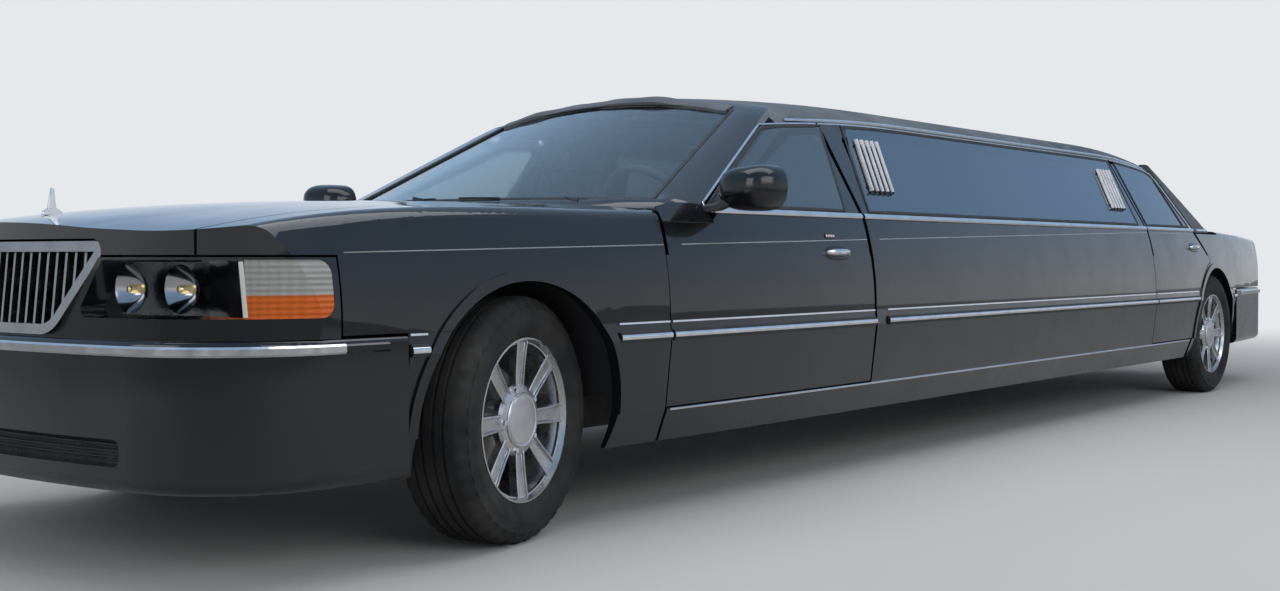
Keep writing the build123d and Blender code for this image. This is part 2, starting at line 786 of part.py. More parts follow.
def bent_band(plane, bend, outer, inner, start, stop, half=1050):
    # a band bent about the slope: outer and inner are heights over the screen's outer face
    flip = 1 if plane.y_dir.Z > 0 else -1
    side = bend - math.sqrt(bend ** 2 - half ** 2)
    with BuildPart() as band:
        with BuildSketch(plane.offset(start)):
            with BuildLine():
                ThreePointArc((-half, flip * (outer - side)), (0, flip * outer), (half, flip * (outer - side)))
                Line((half, flip * (outer - side)), (half, flip * (inner - side)))
                ThreePointArc((half, flip * (inner - side)), (0, flip * inner), (-half, flip * (inner - side)))
                Line((-half, flip * (inner - side)), (-half, flip * (outer - side)))
            make_face()
        extrude(amount=stop - start)
    return band.part


def screen_cut(plane, low_half, low_mid, low_side, high_half, high, radius, shrink=0):
    # a prism square to a screen: its foot an arc that rises to the sides, its head straight
    flat = Plane(origin=plane.origin, x_dir=(0, 1, 0), z_dir=plane.y_dir)
    along = 1 if flat.y_dir.dot(plane.z_dir) > 0 else -1
    with BuildPart() as cut:
        with BuildSketch(flat) as outline:
            with BuildLine():
                ThreePointArc((-low_half, along * low_side), (0, along * low_mid), (low_half, along * low_side))
                Polyline((low_half, along * low_side), (high_half, along * high), (-high_half, along * high),
                         (-low_half, along * low_side))
            make_face()
            fillet(outline.vertices(), radius)
            if shrink:
                offset(amount=-shrink)
        extrude(amount=300, both=True)
    return cut.part


def inside_wall(zone, proud):
    # everything between the two side walls above the belt, at the front or the rear
    y = half_width + proud
    grow = (rail_in - belt_in) / (rail_z - belt_z)
    low, high = belt_z - 100, roof_z + 100
    with BuildSketch(across(0)) as face:
        with BuildLine():
            Polyline(
                (0, low), (y - belt_in, low), (y - belt_in, belt_z),
                (y - belt_in - grow * (high - belt_z), high), (0, high), close=True,
            )
        make_face()
    reach = (b_seam, front_axle) if zone == "front" else (c_seam, rear_axle - 700)
    left = swept_wall(face.sketch.face(), *reach)
    with BuildPart() as whole:
        add(left)
        add(mirror(left, about=Plane.XZ))
        if zone == "front":
            add(span_box(b_seam, reach[1], -60, 60, low, high))
        else:
            add(span_box(reach[1], c_seam, -60, 60, low, high))
    return whole.part


shield_plane = slope_plane(shield_foot_x, shield_foot_z, shield_head_x, shield_head_z)
shield_run = math.hypot(shield_head_x - shield_foot_x, shield_head_z - shield_foot_z)
back_plane = slope_plane(back_foot_x, back_foot_z, back_head_x, back_head_z)
back_run = math.hypot(back_head_x - back_foot_x, back_head_z - back_foot_z)
crown_fill = roof_sweep(roof_face(0, filled=True), front_axle - 1000, rear_axle - 400)

# Windshield frame: posts, header and foot in one ring, and the glass inside it
shield_low = belt_z + 12
header_wide, foot_wide, post_wide = 70, 60, 40


def shield_half(run):
    # how far across the glass reaches at this distance up the slope
    x = shield_foot_x + (shield_head_x - shield_foot_x) * run / shield_run
    z = shield_foot_z + (shield_head_z - shield_foot_z) * run / shield_run - 70
    return wall_y(x, z) - post_wide - 20


shield_foot_mid, shield_foot_side = 14, 205
shield_head = shield_run - header_wide
shield_opening = (shield_half(shield_foot_side), shield_foot_mid, shield_foot_side,
                  shield_half(shield_head), shield_head, 45)
with BuildPart() as shield_frame:
    add(bent_band(shield_plane, shield_bend, 0, -shield_post, -400, shield_run - seat_gap))
    add(inside_wall("front", 0), mode=Mode.INTERSECT)
    add(crown_fill, mode=Mode.INTERSECT)
    add(span_box(0, front_end, -1200, 1200, shield_low, 1600), mode=Mode.INTERSECT)
    add(screen_cut(shield_plane, *shield_opening), mode=Mode.SUBTRACT)
write(shield_frame.part, "windshield_frame")


with BuildPart() as windshield:
    add(bent_band(shield_plane, shield_bend, -glass_deep / 2, -glass_deep / 2 - glass_thick, -200, shield_run))
    add(screen_cut(shield_plane, *shield_opening, seat_gap), mode=Mode.INTERSECT)
write(windshield.part, "windshield")

# Roof with its rear posts, and the rear window in it
sail_front_gap = 14
sail_outline = [
    (rear_belt_x - sail_front_gap, belt_z + 4), (rear_top_x - sail_front_gap, rail_at(rear_top_x) - rail_gap - 8),
    (rear_top_x - sail_front_gap, rail_z), (back_head_x - 300, rail_z + 40), (back_foot_x - 60, belt_z + 4),
]
back_opening = (680, 45, 185, 560, back_run - 45, 50)
with BuildPart() as roof:
    add(roof_sweep(roof_face(0), front_axle - 1300, rear_axle - 200))
    add(roof_sweep(roof_face(roof_thick), front_axle - 1290, rear_axle - 210), mode=Mode.SUBTRACT)
    add(bent_band(shield_plane, shield_bend, 400, -600, -500, shield_run), mode=Mode.SUBTRACT)
with BuildPart() as sail:
    add(swept_wall(wall_face(door_thick, frame_thick, roof_proud), c_seam, rear_axle - 500))
    add(side_cut(sail_outline), mode=Mode.INTERSECT)
with BuildPart() as back_frame:
    add(bent_band(back_plane, back_bend, 0, -back_post, -150, back_run + 200))
    add(inside_wall("rear", roof_proud), mode=Mode.INTERSECT)
    add(crown_fill, mode=Mode.INTERSECT)
    add(span_box(rear_end, 0, -1200, 1200, belt_z + 4, 1600), mode=Mode.INTERSECT)
with BuildPart() as vinyl_roof:
    add(roof.part)
    add(both_sides(sail.part))
    add(bent_band(back_plane, back_bend, 900, 0, -600, back_run + 300), mode=Mode.SUBTRACT)
    add(back_frame.part)
    add(screen_cut(back_plane, *back_opening), mode=Mode.SUBTRACT)
write(vinyl_roof.part, "roof")
with BuildPart() as rear_window:
    add(bent_band(back_plane, back_bend, -glass_deep / 2, -glass_deep / 2 - glass_thick, -100, back_run + 100))
    add(screen_cut(back_plane, *back_opening, seat_gap), mode=Mode.INTERSECT)
write(rear_window.part, "rear_window")

# Cowl ahead of the windshield, and the deck behind the rear window
with BuildPart() as cowl:
    add(nose_shell)
    add(arc_ahead(foot_mid, foot_side, hood_seam_y + gap - seat_gap, belt_z - 20, 1200), mode=Mode.INTERSECT)
    add(hood_arc(-gap, 800, 1300), mode=Mode.SUBTRACT)
    add(both_sides(span_box(hood_rear_side - gap, front_end + 100, hood_seam_y - 1, 1000, 800, 1300)), mode=Mode.SUBTRACT)
    add(bent_band(shield_plane, shield_bend, seat_gap, -shield_post - 40, -500, shield_run), mode=Mode.SUBTRACT)
write(cowl.part, "cowl")
with BuildPart() as deck:
    add(tail_shell)
    add(span_box(trunk_front + gap, back_foot_x + 60, -trunk_seam_y - gap, trunk_seam_y + gap, belt_z, 1200),
        mode=Mode.INTERSECT)
    add(bent_band(back_plane, back_bend, seat_gap, -200, -400, back_run), mode=Mode.SUBTRACT)
with BuildPart() as rear_body:
    add(both_sides(quarter_cut.part))
    add(tail_panel.part)
    add(deck.part)
write(rear_body.part, "rear_body")

# Chassis: two rails with a rise over each axle, and the members between them
rail_turn = 330
rail_out = rail_y + rail_wide / 2
frame_front = front_end - bumper_deep - nose_bow + math.sqrt(nose_bow ** 2 - rail_out ** 2) - seat_gap
frame_rear = rear_end + bumper_deep + tail_bow - math.sqrt(tail_bow ** 2 - rail_out ** 2) + seat_gap


def rail_side():
    lows = [
        (frame_rear, rail_lift), (rear_axle - rail_turn - 120, rail_lift), (rear_axle + rail_turn, rail_lift),
        (rear_axle + rail_turn + 230, rail_base), (front_axle - rail_turn - 330, rail_base),
        (front_axle - rail_turn - 60, rail_lift), (frame_front, rail_lift),
    ]
    return lows + [(x, z + rail_tall) for x, z in reversed(lows)]


member_deep, member_tall = 90, 60
member_places = [
    (frame_front - 240, rail_lift), (b_seam, rail_base), (b_seam - 1000, rail_base),
    (c_seam + 1000, rail_base), (c_seam, rail_base), (rear_axle + rail_turn - 60, rail_lift + 50),
    (rear_axle - rail_turn - 60, rail_lift + 50), (frame_rear + 120, rail_lift),
]
with BuildPart() as frame:
    with BuildSketch(Plane.XZ.offset(-(rail_y + rail_wide / 2))):
        with BuildLine():
            Polyline(*rail_side(), close=True)
        make_face()
    extrude(amount=rail_wide)
    mirror(about=Plane.XZ)
    for x, z in member_places:
        with BuildSketch(Plane.XY.offset(z)):
            with Locations((x, 0)):
                Rectangle(member_deep, 2 * rail_y)
        extrude(amount=member_tall)
write(frame.part, "frame")

# Floor with its tunnel, firewall, rear bulkhead with its shelf, and trunk floor
firewall_x, bulkhead_x = front_axle - 640, rear_axle + 330
floor_half = half_width - rocker_in - plan_inset(firewall_x) - seat_gap
cabin_half = half_width - door_thick - 12
tunnel_rear, tunnel_half, tunnel_top = b_seam + 300, 225, 580
floor_under = rail_base + rail_tall + seat_gap
house_in = rail_out + seat_gap
house_room = both_sides(disc_cut(rear_axle, arch_liner_r + arch_liner + seat_gap, house_in - seat_gap, 1200))
with BuildPart() as floor_pan:
    add(span_box(bulkhead_x, firewall_x, -floor_half, floor_half, floor_z, floor_z + floor_thick))
    add(span_box(bulkhead_x, firewall_x, -rail_y - 30, -rail_y + 30, floor_under, floor_z))
    add(span_box(bulkhead_x, firewall_x, rail_y - 30, rail_y + 30, floor_under, floor_z))
    add(span_box(tunnel_rear, firewall_x, -tunnel_half, tunnel_half, floor_z, tunnel_top))
    add(span_box(tunnel_rear + floor_thick, firewall_x + 1, -tunnel_half + floor_thick, tunnel_half - floor_thick,
                 floor_z - 1, tunnel_top - floor_thick), mode=Mode.SUBTRACT)
    add(frame.part, mode=Mode.SUBTRACT)
    add(house_room, mode=Mode.SUBTRACT)
with BuildPart() as firewall:
    add(span_box(firewall_x, firewall_x + 12, -floor_half - 60, floor_half + 60, crease_z + seat_gap, 930))
    add(span_box(firewall_x - 1, firewall_x + 13, -floor_half, floor_half, 200, floor_z), mode=Mode.SUBTRACT)
    add(span_box(firewall_x - 1, firewall_x + 13, -tunnel_half + floor_thick, tunnel_half - floor_thick,
                 floor_z - 1, tunnel_top - floor_thick), mode=Mode.SUBTRACT)
    add(frame.part, mode=Mode.SUBTRACT)
shelf_z = 925
with BuildPart() as bulkhead:
    add(span_box(bulkhead_x, bulkhead_x + 12, -cabin_half + 80, cabin_half - 80, floor_z, shelf_z))
    add(span_box(back_foot_x + 60, bulkhead_x + 12, -cabin_half + 130, cabin_half - 130, shelf_z, shelf_z + 12))
    add(frame.part, mode=Mode.SUBTRACT)
    add(house_room, mode=Mode.SUBTRACT)
pillar_out = wall_y(front_seam + 90, belt_z) - clip_skin - 2
pillar_top = 870
with BuildPart() as pillar:
    add(span_box(front_seam + gap, front_seam + gap + 80, pillar_out - 60, pillar_out, crease_z + seat_gap, pillar_top))
    add(span_box(firewall_x, front_seam + gap + 80, pillar_out - 80, pillar_out - 40, crease_z + seat_gap, pillar_top))
with BuildPart() as floor_shell:
    add(floor_pan.part)
    add(firewall.part)
    add(bulkhead.part)
    add(both_sides(pillar.part))
write(floor_shell.part, "floor_pan")
trunk_floor_z = rail_lift + rail_tall
trunk_floor_half = 840
with BuildPart() as trunk_floor:
    add(plan_prism(-1, 0, tail_bow, tail_corner, trunk_floor_z + seat_gap, trunk_floor_z + 12, 1700, bumper_deep + seat_gap))
    add(span_box(rear_end, bulkhead_x - seat_gap, -trunk_floor_half, trunk_floor_half, 0, 1200), mode=Mode.INTERSECT)
    add(house_room, mode=Mode.SUBTRACT)
write(trunk_floor.part, "trunk_floor")

# Engine, as one block, and the gearbox, driveshaft and rear axle
engine_long, engine_wide, engine_tall = 700, 600, 500
engine_low, beam_top = 385, 280
with BuildPart() as engine:
    add(span_box(front_axle - 430, front_axle - 430 + engine_long, -engine_wide / 2, engine_wide / 2,
                 engine_low, engine_low + engine_tall))
    fillet(engine.edges().filter_by(Axis.X), 60)
    add(both_sides(span_box(front_axle - 45, front_axle + 45, 130, 210, beam_top + seat_gap, engine_low + 30)))
shaft_front = b_seam + 560
axle_tube_r = 38
spring_r = 48
with BuildPart() as axle:
    with BuildSketch(Plane.XZ.offset(700)):
        with Locations((rear_axle, tyre_r)):
            Circle(axle_tube_r)
    extrude(amount=-1400)
    with Locations((rear_axle, 0, tyre_r)):
        Sphere(125)
    with BuildSketch(Plane.XY.offset(tyre_r)):
        with Locations((rear_axle, -rail_y), (rear_axle, rail_y)):
            Circle(spring_r)
    extrude(amount=rail_lift - seat_gap - tyre_r)
    with BuildSketch(Plane.XZ.offset(rear_track / 2 + bore_end - seat_gap)):
        with Locations((rear_axle, tyre_r)):
            Circle(spindle_r)
    extrude(amount=-(rear_track + 2 * (bore_end - seat_gap)))
write(axle.part, "rear_axle")
with BuildPart() as driveshaft:
    with BuildSketch(across(rear_axle + 125 + seat_gap)):
        with Locations((0, shaft_z)):
            Circle(shaft_r)
    extrude(amount=shaft_front - rear_axle - 125 - seat_gap)
write(driveshaft.part, "driveshaft")
with BuildPart() as gearbox:
    with BuildSketch(across(shaft_front + seat_gap)):
        with Locations((0, shaft_z + 20)):
            RectangleRounded(220, 200, 60)
    with BuildSketch(across(front_axle - 430)):
        with Locations((0, shaft_z + 60)):
            RectangleRounded(400, 340, 80)
    loft()
with BuildPart() as power_unit:
    add(engine.part)
    add(gearbox.part)
write(power_unit.part, "engine")

# Exhaust: one pipe over the axle with a silencer, and the fuel tank behind
pipe_r, pipe_y = 28, -300
pipe_low, pipe_high = rail_base + member_tall + pipe_r + seat_gap, tyre_r + axle_tube_r + pipe_r + 12
exhaust_route = [
    (shaft_front + 200, pipe_y, pipe_low), (rear_axle + 350, pipe_y, pipe_low), (rear_axle + 130, pipe_y, pipe_high),
    (rear_axle - 220, pipe_y, pipe_high), (rear_axle - 420, pipe_y, pipe_low + 20), (rear_end + 90, pipe_y, pipe_low + 20),
]
with BuildPart() as exhaust:
    with BuildLine() as route:
        FilletPolyline(*exhaust_route, radius=110)
    with BuildSketch(Plane(origin=exhaust_route[0], z_dir=(-1, 0, 0))):
        Circle(pipe_r)
    sweep(path=route.line)
    with BuildSketch(across(c_seam + 1300)):
        with Locations((pipe_y + 0, pipe_low)):
            RectangleRounded(132, 50, 24)
    extrude(amount=600)
write(exhaust.part, "exhaust")
with BuildPart() as tank:
    add(span_box(rear_axle - 900, rear_axle - 450, -230, 340, 300, trunk_floor_z))
    fillet(tank.edges().filter_by(Axis.X), 40)
write(tank.part, "fuel_tank")

# Wheels: tyre, rim with its spokes, and the hub on its spindle, turning about Y
spoke_count, spoke_wide, spoke_deep = 8, 44, 26
cap_r = 62


def wheel_profile(points):
    with BuildPart() as body:
        with BuildSketch(Plane.XY):
            with BuildLine():
                Polyline(*points, close=True)
            make_face()
        revolve(axis=Axis.Y)
    return body.part


tyre_round = 26
with BuildPart() as tyre_body:
    with BuildSketch(Plane.XY) as tyre_face:
        with BuildLine():
            Polyline(
                (tyre_r, -tyre_half + 24), (tyre_r, tyre_half - 24), (tyre_r - 30, tyre_half - 4),
                (tyre_r - 62, tyre_half), (lip_r + seat_gap, rim_half - 2), (lip_r + seat_gap, rim_half - 12),
                (rim_r + seat_gap, rim_half - 16), (rim_r + seat_gap, 16 - rim_half), (lip_r + seat_gap, 12 - rim_half),
                (lip_r + seat_gap, 2 - rim_half), (tyre_r - 62, -tyre_half), (tyre_r - 30, -tyre_half + 4), close=True,
            )
        make_face()
        fillet([v for v in tyre_face.vertices() if v.X > tyre_r - 70], 12)
    revolve(axis=Axis.Y)

disc_face = rim_half - 22
with BuildPart() as rim_body:
    add(wheel_profile([
        (lip_r, rim_half), (lip_r, rim_half - 12), (rim_r, rim_half - 16), (rim_r, 16 - rim_half),
        (lip_r, 12 - rim_half), (lip_r, -rim_half), (lip_r - 26, -rim_half), (rim_r - 13, 24 - rim_half),
        (rim_r - 13, rim_half - 26), (lip_r - 20, rim_half),
    ]))
    add(wheel_profile([(0, disc_face + 8), (cap_r, disc_face - 2), (cap_r + 14, disc_face - 14),
                       (cap_r + 14, disc_face - 46), (0, disc_face - 46)]))
    with BuildSketch(Plane.XZ.offset(-disc_face)):
        with PolarLocations(0, spoke_count):
            for shift in (-1, 1):
                with Locations((lip_r / 2 + 5, shift * spoke_wide / 3.2)):
                    Rectangle(lip_r - 50, spoke_wide / 2.6)
    extrude(amount=spoke_deep)
    add(wheel_profile([(hub_r + 20, disc_face - 40), (hub_r + 20, -40), (spindle_r + spindle_gap, -40),
                       (spindle_r + spindle_gap, disc_face - 40)]))
    add(wheel_profile([(hub_r + 10, -34), (150, -34), (150, -20), (hub_r + 10, -20)]))
    with BuildSketch(Plane.XZ.offset(-bore_end)):
        Circle(spindle_r + spindle_gap)
    extrude(amount=200, mode=Mode.SUBTRACT)


def placed_wheel(piece, x, track, side, steer=0):
    # a wheel part moved to its hub, mirrored for the right, and turned about its kingpin
    way = sides[side]
    at_hub = piece.moved(Location((x, track / 2, tyre_r)))
    if way < 0:
        at_hub = mirror(at_hub, about=Plane.XZ)
    if steer:
        pin = (x, way * kingpin_y, 0)
        turned = at_hub.moved(Location((-pin[0], -pin[1], 0)))
        at_hub = turned.moved(Location((0, 0, 0), (0, 0, steer))).moved(Location(pin))
    return at_hub


for side in sides:
    for end, x, track, steer in [("front", front_axle, front_track, steer_at_rest), ("rear", rear_axle, rear_track, 0)]:
        write(placed_wheel(tyre_body.part, x, track, side, steer), f"{end}_tyre_{side}")
        write(placed_wheel(rim_body.part, x, track, side, steer), f"{end}_rim_{side}")

# Knuckles between the suspension arms, and the arms on their cross beam
post_half = 150
with BuildPart() as knuckle_body:
    with BuildSketch(Plane.XY.offset(-post_half)):
        with Locations((0, kingpin_y - front_track / 2)):
            Circle(kingpin_r)
    extrude(amount=2 * post_half)
    with BuildSketch(Plane.XZ.offset(-(bore_end - seat_gap))):
        Circle(spindle_r)
    extrude(amount=bore_end - seat_gap + front_track / 2 - kingpin_y)
for side in sides:
    write(placed_wheel(knuckle_body.part, front_axle, front_track, side, steer_at_rest), f"knuckle_{side}")

arm_thick, arm_wide = 28, 56
with BuildPart() as suspension:
    for z in (tyre_r - post_half - seat_gap - arm_thick, tyre_r + post_half + seat_gap):
        with BuildSketch(Plane.XY.offset(z)):
            with Locations((front_axle, (kingpin_y + 330) / 2)):
                RectangleRounded(arm_wide, kingpin_y - 330 + 50, 24)
        extrude(amount=arm_thick)
    with BuildSketch(Plane.XY.offset(tyre_r - post_half - seat_gap - arm_thick)):
        with Locations((front_axle, 340)):
            Rectangle(110, 60)
    extrude(amount=2 * post_half + 2 * seat_gap + 2 * arm_thick)
    mirror(about=Plane.XZ)
    add(span_box(front_axle - 55, front_axle + 55, -360, 360, beam_top - 80, beam_top))
    add(frame.part, mode=Mode.SUBTRACT)
write(suspension.part, "front_suspension")

# Wheel houses: liners over each wheel
nose_room = clip(nose_rows, clip_skin + seat_gap)
tail_room = clip(tail_rows, clip_skin + seat_gap)
liners = []
for x, room in ((front_axle, nose_room), (rear_axle, tail_room)):
    with BuildPart() as liner:
        add(disc_cut(x, arch_liner_r + arch_liner, house_in, half_width))
        add(disc_cut(x, arch_liner_r, house_in - 1, half_width + 1), mode=Mode.SUBTRACT)
        add(span_box(rear_end, front_end, 0, 1200, -200, tyre_r + 40), mode=Mode.SUBTRACT)
        add(room, mode=Mode.INTERSECT)
    liners.append(liner.part)
with BuildPart() as wheel_houses:
    for liner in liners:
        add(both_sides(liner))
write(wheel_houses.part, "wheel_houses")

# Cabin: dashboard, steering wheel, front seats, partition and lounge seats
dash_deep, dash_low, dash_high = 330, 700, 935
with BuildPart() as dash:
    add(span_box(firewall_x - dash_deep, firewall_x - seat_gap, -cabin_half + 90, cabin_half - 90, dash_low, dash_high))
    fillet(dash.edges().filter_by(Axis.Y), 40)
write(dash.part, "dashboard")
wheel_x, wheel_y, wheel_z, wheel_r, wheel_rake = front_axle - 1230, 400, 960, 190, 62
steer_plane = Plane(origin=(wheel_x, wheel_y, wheel_z), x_dir=(0, 1, 0),
                    z_dir=(-math.sin(math.radians(wheel_rake)), 0, math.cos(math.radians(wheel_rake))))
with BuildPart() as steering_wheel:
    with BuildSketch(Plane(origin=(0, 0, 0), x_dir=(1, 0, 0), z_dir=(0, -1, 0))):
        with Locations((wheel_r, 0)):
            Circle(15)
    revolve(axis=Axis.Z)
    with BuildSketch(Plane.XY.offset(-16)):
        Circle(70)
        Rectangle(2 * wheel_r - 10, 44)
    extrude(amount=24)
    with BuildSketch(Plane.XY.offset(-400)):
        Circle(30)
    extrude(amount=390)
with BuildPart() as steering:
    add(steer_plane.location * steering_wheel.part)
    add(span_box(firewall_x - dash_deep - seat_gap, front_end, -1200, 1200, 0, 1500), mode=Mode.SUBTRACT)
write(steering.part, "steering_wheel")


def seat(long, wide, cushion_z, back_high, back_rake=14):
    # a padded seat facing forward: cushion, leaning back and base, standing on the floor
    with BuildPart() as body:
        with BuildSketch(Plane.XZ.offset(-wide / 2)) as shape:
            with BuildLine():
                lean = back_high * math.tan(math.radians(back_rake))
                Polyline(
                    (0, 0), (long, 0), (long, cushion_z), (130, cushion_z - 30),
                    (130 - lean, back_high), (-lean, back_high), (0, cushion_z - 60), close=True,
                )
            make_face()
            fillet(shape.vertices().sort_by(Axis.Y)[2:], 28)
        extrude(amount=wide)
    return body.part


seat_floor = floor_z + floor_thick + seat_gap
with BuildPart() as front_seats:
    for y in (-470, 470):
        add(seat(620, 460, 330, 860).moved(Location((front_axle - 1780, y, seat_floor))))
write(front_seats.part, "front_seats")
bench_deep = 560
with BuildPart() as lounge_seats:
    add(seat(600, 1380, 330, 800, 6).moved(Location((bulkhead_x + 120, 0, seat_floor))))
    side_bench = seat(bench_deep, abs(c_seam - b_seam) - 900, 330, 560, 0)
    add(side_bench.moved(Location((0, 0, 0), (0, 0, 90))).moved(Location(((c_seam + b_seam) / 2 - 50, -cabin_half + 40, seat_floor))))
with BuildPart() as lounge_cut:
    add(lounge_seats.part)
    add(frame.part, mode=Mode.SUBTRACT)
write(lounge_cut.part, "lounge_seats")
partition_x = b_seam - 180
with BuildPart() as partition:
    with BuildSketch(across(partition_x)):
        with BuildLine():
            Polyline(
                (-cabin_half + 6, seat_floor), (cabin_half - 6, seat_floor), (cabin_half - 6, belt_z - 20), (630, 1330),
                (545, 1366), (-545, 1366), (-630, 1330), (-cabin_half + 6, belt_z - 20), close=True,
            )
        make_face()
        with Locations((0, 1130)):
            RectangleRounded(1000, 300, 40, mode=Mode.SUBTRACT)
    extrude(amount=40)
write(partition.part, "partition")

# Mirrors and handles on the doors
wall_grown_front = swept_wall(wall_face(door_thick, frame_thick, seat_gap), *front_reach)
wall_grown_rear = swept_wall(wall_face(door_thick, frame_thick, seat_gap), *rear_reach)
mirror_x, mirror_z = front_axle - 905, 1028
with BuildPart() as door_mirror:
    with BuildSketch(across(mirror_x - 50)):
        with Locations((1042, mirror_z)):
            RectangleRounded(190, 128, 50)
    extrude(amount=60)
    with BuildSketch(across(mirror_x + 10)):
        with Locations((1042, mirror_z)):
            RectangleRounded(190, 128, 50)
    with BuildSketch(across(mirror_x + 70)):
        with Locations((1020, mirror_z)):
            RectangleRounded(120, 80, 34)
    loft()
    add(span_box(mirror_x - 110, mirror_x + 10, wall_y(mirror_x, belt_z + 40) - 16, 980, mirror_z - 76, mirror_z - 40))
    add(wall_grown_front, mode=Mode.SUBTRACT)
handle_places = {"front": (front_axle - 1630, 827, wall_grown_front), "rear": (rear_axle + 398, 865, wall_grown_rear)}
handle_long, handle_tall, handle_out = 150, 24, 34
handles = {}
for end, (x, z, wall) in handle_places.items():
    y = wall_y(x, z)
    with BuildPart() as handle:
        add(span_box(x - handle_long / 2, x + handle_long / 2, y - 20, y + handle_out, z - handle_tall / 2, z + handle_tall / 2))
        fillet(handle.edges().filter_by(Axis.Z).sort_by(Axis.Y)[-2:], 16)
        add(span_box(x - handle_long / 2 + 26, x + handle_long / 2 - 26, y - 30, y + handle_out - 12, z - 30, z + 30),
            mode=Mode.SUBTRACT)
        add(wall, mode=Mode.SUBTRACT)
        handle_solids = [solid for solid in handle.solids()]
    handles[end] = handle.part
for side in sides:
    write(mirrored(door_mirror.part, side), f"mirror_{side}")
    for end in handles:
        write(mirrored(handles[end], side), f"{end}_handle_{side}")

# Louvres on the long windows: five leaning bars in a bracket at each end
tumble_angle = math.degrees(math.atan2(rail_in - belt_in, rail_z - belt_z))
bar_number, louvre_pitch, louvre_tall, louvre_lean = 5, 26, 205, 8
louvre_places = [(b_seam - 225, 1160), (c_seam + 313, 1165)]
with BuildPart() as louvre:
    for x, z in louvre_places:
        share = (z - belt_z) / (rail_z - belt_z)
        y = half_width - glass_deep - belt_in - (rail_in - belt_in) * share
        pane_plane = Plane(origin=(x, y, z), x_dir=(1, 0, 0),
                           z_dir=(0, math.cos(math.radians(tumble_angle)), math.sin(math.radians(tumble_angle))))
        with BuildSketch(pane_plane.offset(4)):
            for index in range(bar_number):
                with Locations(Location(((index - 2) * louvre_pitch, 0), louvre_lean)):
                    RectangleRounded(15, louvre_tall, 6)
        extrude(amount=12)
        with BuildSketch(pane_plane.offset(seat_gap)):
            for shift in (-70, 70):
                with Locations((-shift * math.tan(math.radians(louvre_lean)), shift)):
                    Rectangle(bar_number * louvre_pitch + 14, 12)
        extrude(amount=6)
write(both_sides(louvre.part), "louvres")
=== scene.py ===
import bmesh
import bpy
import json
import math
from functools import cache
from mathutils import Matrix, Vector
from mathutils.bvhtree import BVHTree


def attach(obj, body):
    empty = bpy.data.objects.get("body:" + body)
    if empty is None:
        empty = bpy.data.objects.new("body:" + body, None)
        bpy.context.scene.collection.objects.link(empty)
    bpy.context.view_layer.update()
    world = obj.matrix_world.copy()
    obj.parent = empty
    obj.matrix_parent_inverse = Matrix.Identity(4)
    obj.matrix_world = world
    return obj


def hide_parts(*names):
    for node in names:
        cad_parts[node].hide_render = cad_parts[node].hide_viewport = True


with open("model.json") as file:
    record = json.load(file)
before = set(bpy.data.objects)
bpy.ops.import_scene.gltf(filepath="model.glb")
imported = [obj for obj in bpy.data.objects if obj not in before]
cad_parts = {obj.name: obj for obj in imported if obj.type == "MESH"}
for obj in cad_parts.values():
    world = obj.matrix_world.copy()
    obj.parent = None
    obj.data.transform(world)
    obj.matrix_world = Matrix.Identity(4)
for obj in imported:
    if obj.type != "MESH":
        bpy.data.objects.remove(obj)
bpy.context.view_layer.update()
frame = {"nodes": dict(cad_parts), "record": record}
nodes = frame["nodes"]
scene = bpy.context.scene
scene.view_settings.view_transform = "Standard"

# Camera at the photograph's place
camera = bpy.data.objects.new("camera", bpy.data.cameras.new("camera"))
scene.collection.objects.link(camera)
camera.location = (6.19301, 3.73527, 0.81389)
camera.rotation_euler = (math.radians(88.48), 0, math.radians(128.5))
camera.data.lens = 41.35
camera.data.sensor_width = 36
camera.data.clip_end = 200
scene.camera = camera

# Sizes of the object, in metres
half_width = 0.99
front_axle, rear_axle, wheel_z = 3.1795, -2.8585, 0.351
b_seam, c_seam = 1.3155, -1.7325
belt_z, belt_in, rail_z, rail_in = 0.95, 0.058, 1.35, 0.285
front_sweep, rear_sweep = 45.0, 22.5
roof_falls = ((b_seam - 0.7, 12.0), (c_seam + 0.23, 7.0))
shield_foot, shield_head, shield_bend = (2.5995, 1.0), (1.6395, 1.435), 3.2
shield_slope = (shield_head[1] - shield_foot[1]) / (shield_foot[0] - shield_head[0])
steer_at_rest = math.radians(12)
kingpin_y, front_track, rear_track = 0.735, 1.61, 1.666
sides = (("left", 1), ("right", -1))
tumble = math.atan2(rail_in - belt_in, rail_z - belt_z)

# Ends of the trim on the panels, just short of their seams
long_front, long_rear = 1.3015, -1.7225
front_door_rear, front_door_front, rear_door_front = 1.3195, 2.5535, -1.7365
fender_rear = 2.5665

# Where rays that look for a surface start
beside, above, ahead = 1.6, 1.6, 5
down, back = (0, 0, -1), (-1, 0, 0)


def evenly(start, stop, count):
    return [start + (stop - start) * i / count for i in range(count + 1)]


def spaced(start, stop, step):
    return evenly(start, stop, max(1, round(abs(stop - start) / step)))


def arc_drop(radius, reach):
    # how far an arc has left its tangent at this distance along it
    return radius - math.sqrt(radius ** 2 - reach ** 2)


def plan_inset(x):
    # how far the flank curves in towards the nose and the tail
    if x > b_seam:
        return arc_drop(front_sweep, x - b_seam)
    if x < c_seam:
        return arc_drop(rear_sweep, x - c_seam)
    return 0


def band_y(x, z):
    # the skin of the window band above the belt
    return half_width - plan_inset(x) - belt_in - (rail_in - belt_in) * (z - belt_z) / (rail_z - belt_z)


def rail_at(x):
    # height of the roof's lower edge
    (front_x, front_r), (rear_x, rear_r) = roof_falls
    if x > front_x:
        return rail_z - arc_drop(front_r, x - front_x)
    if x < rear_x:
        return rail_z - arc_drop(rear_r, rear_x - x)
    return rail_z


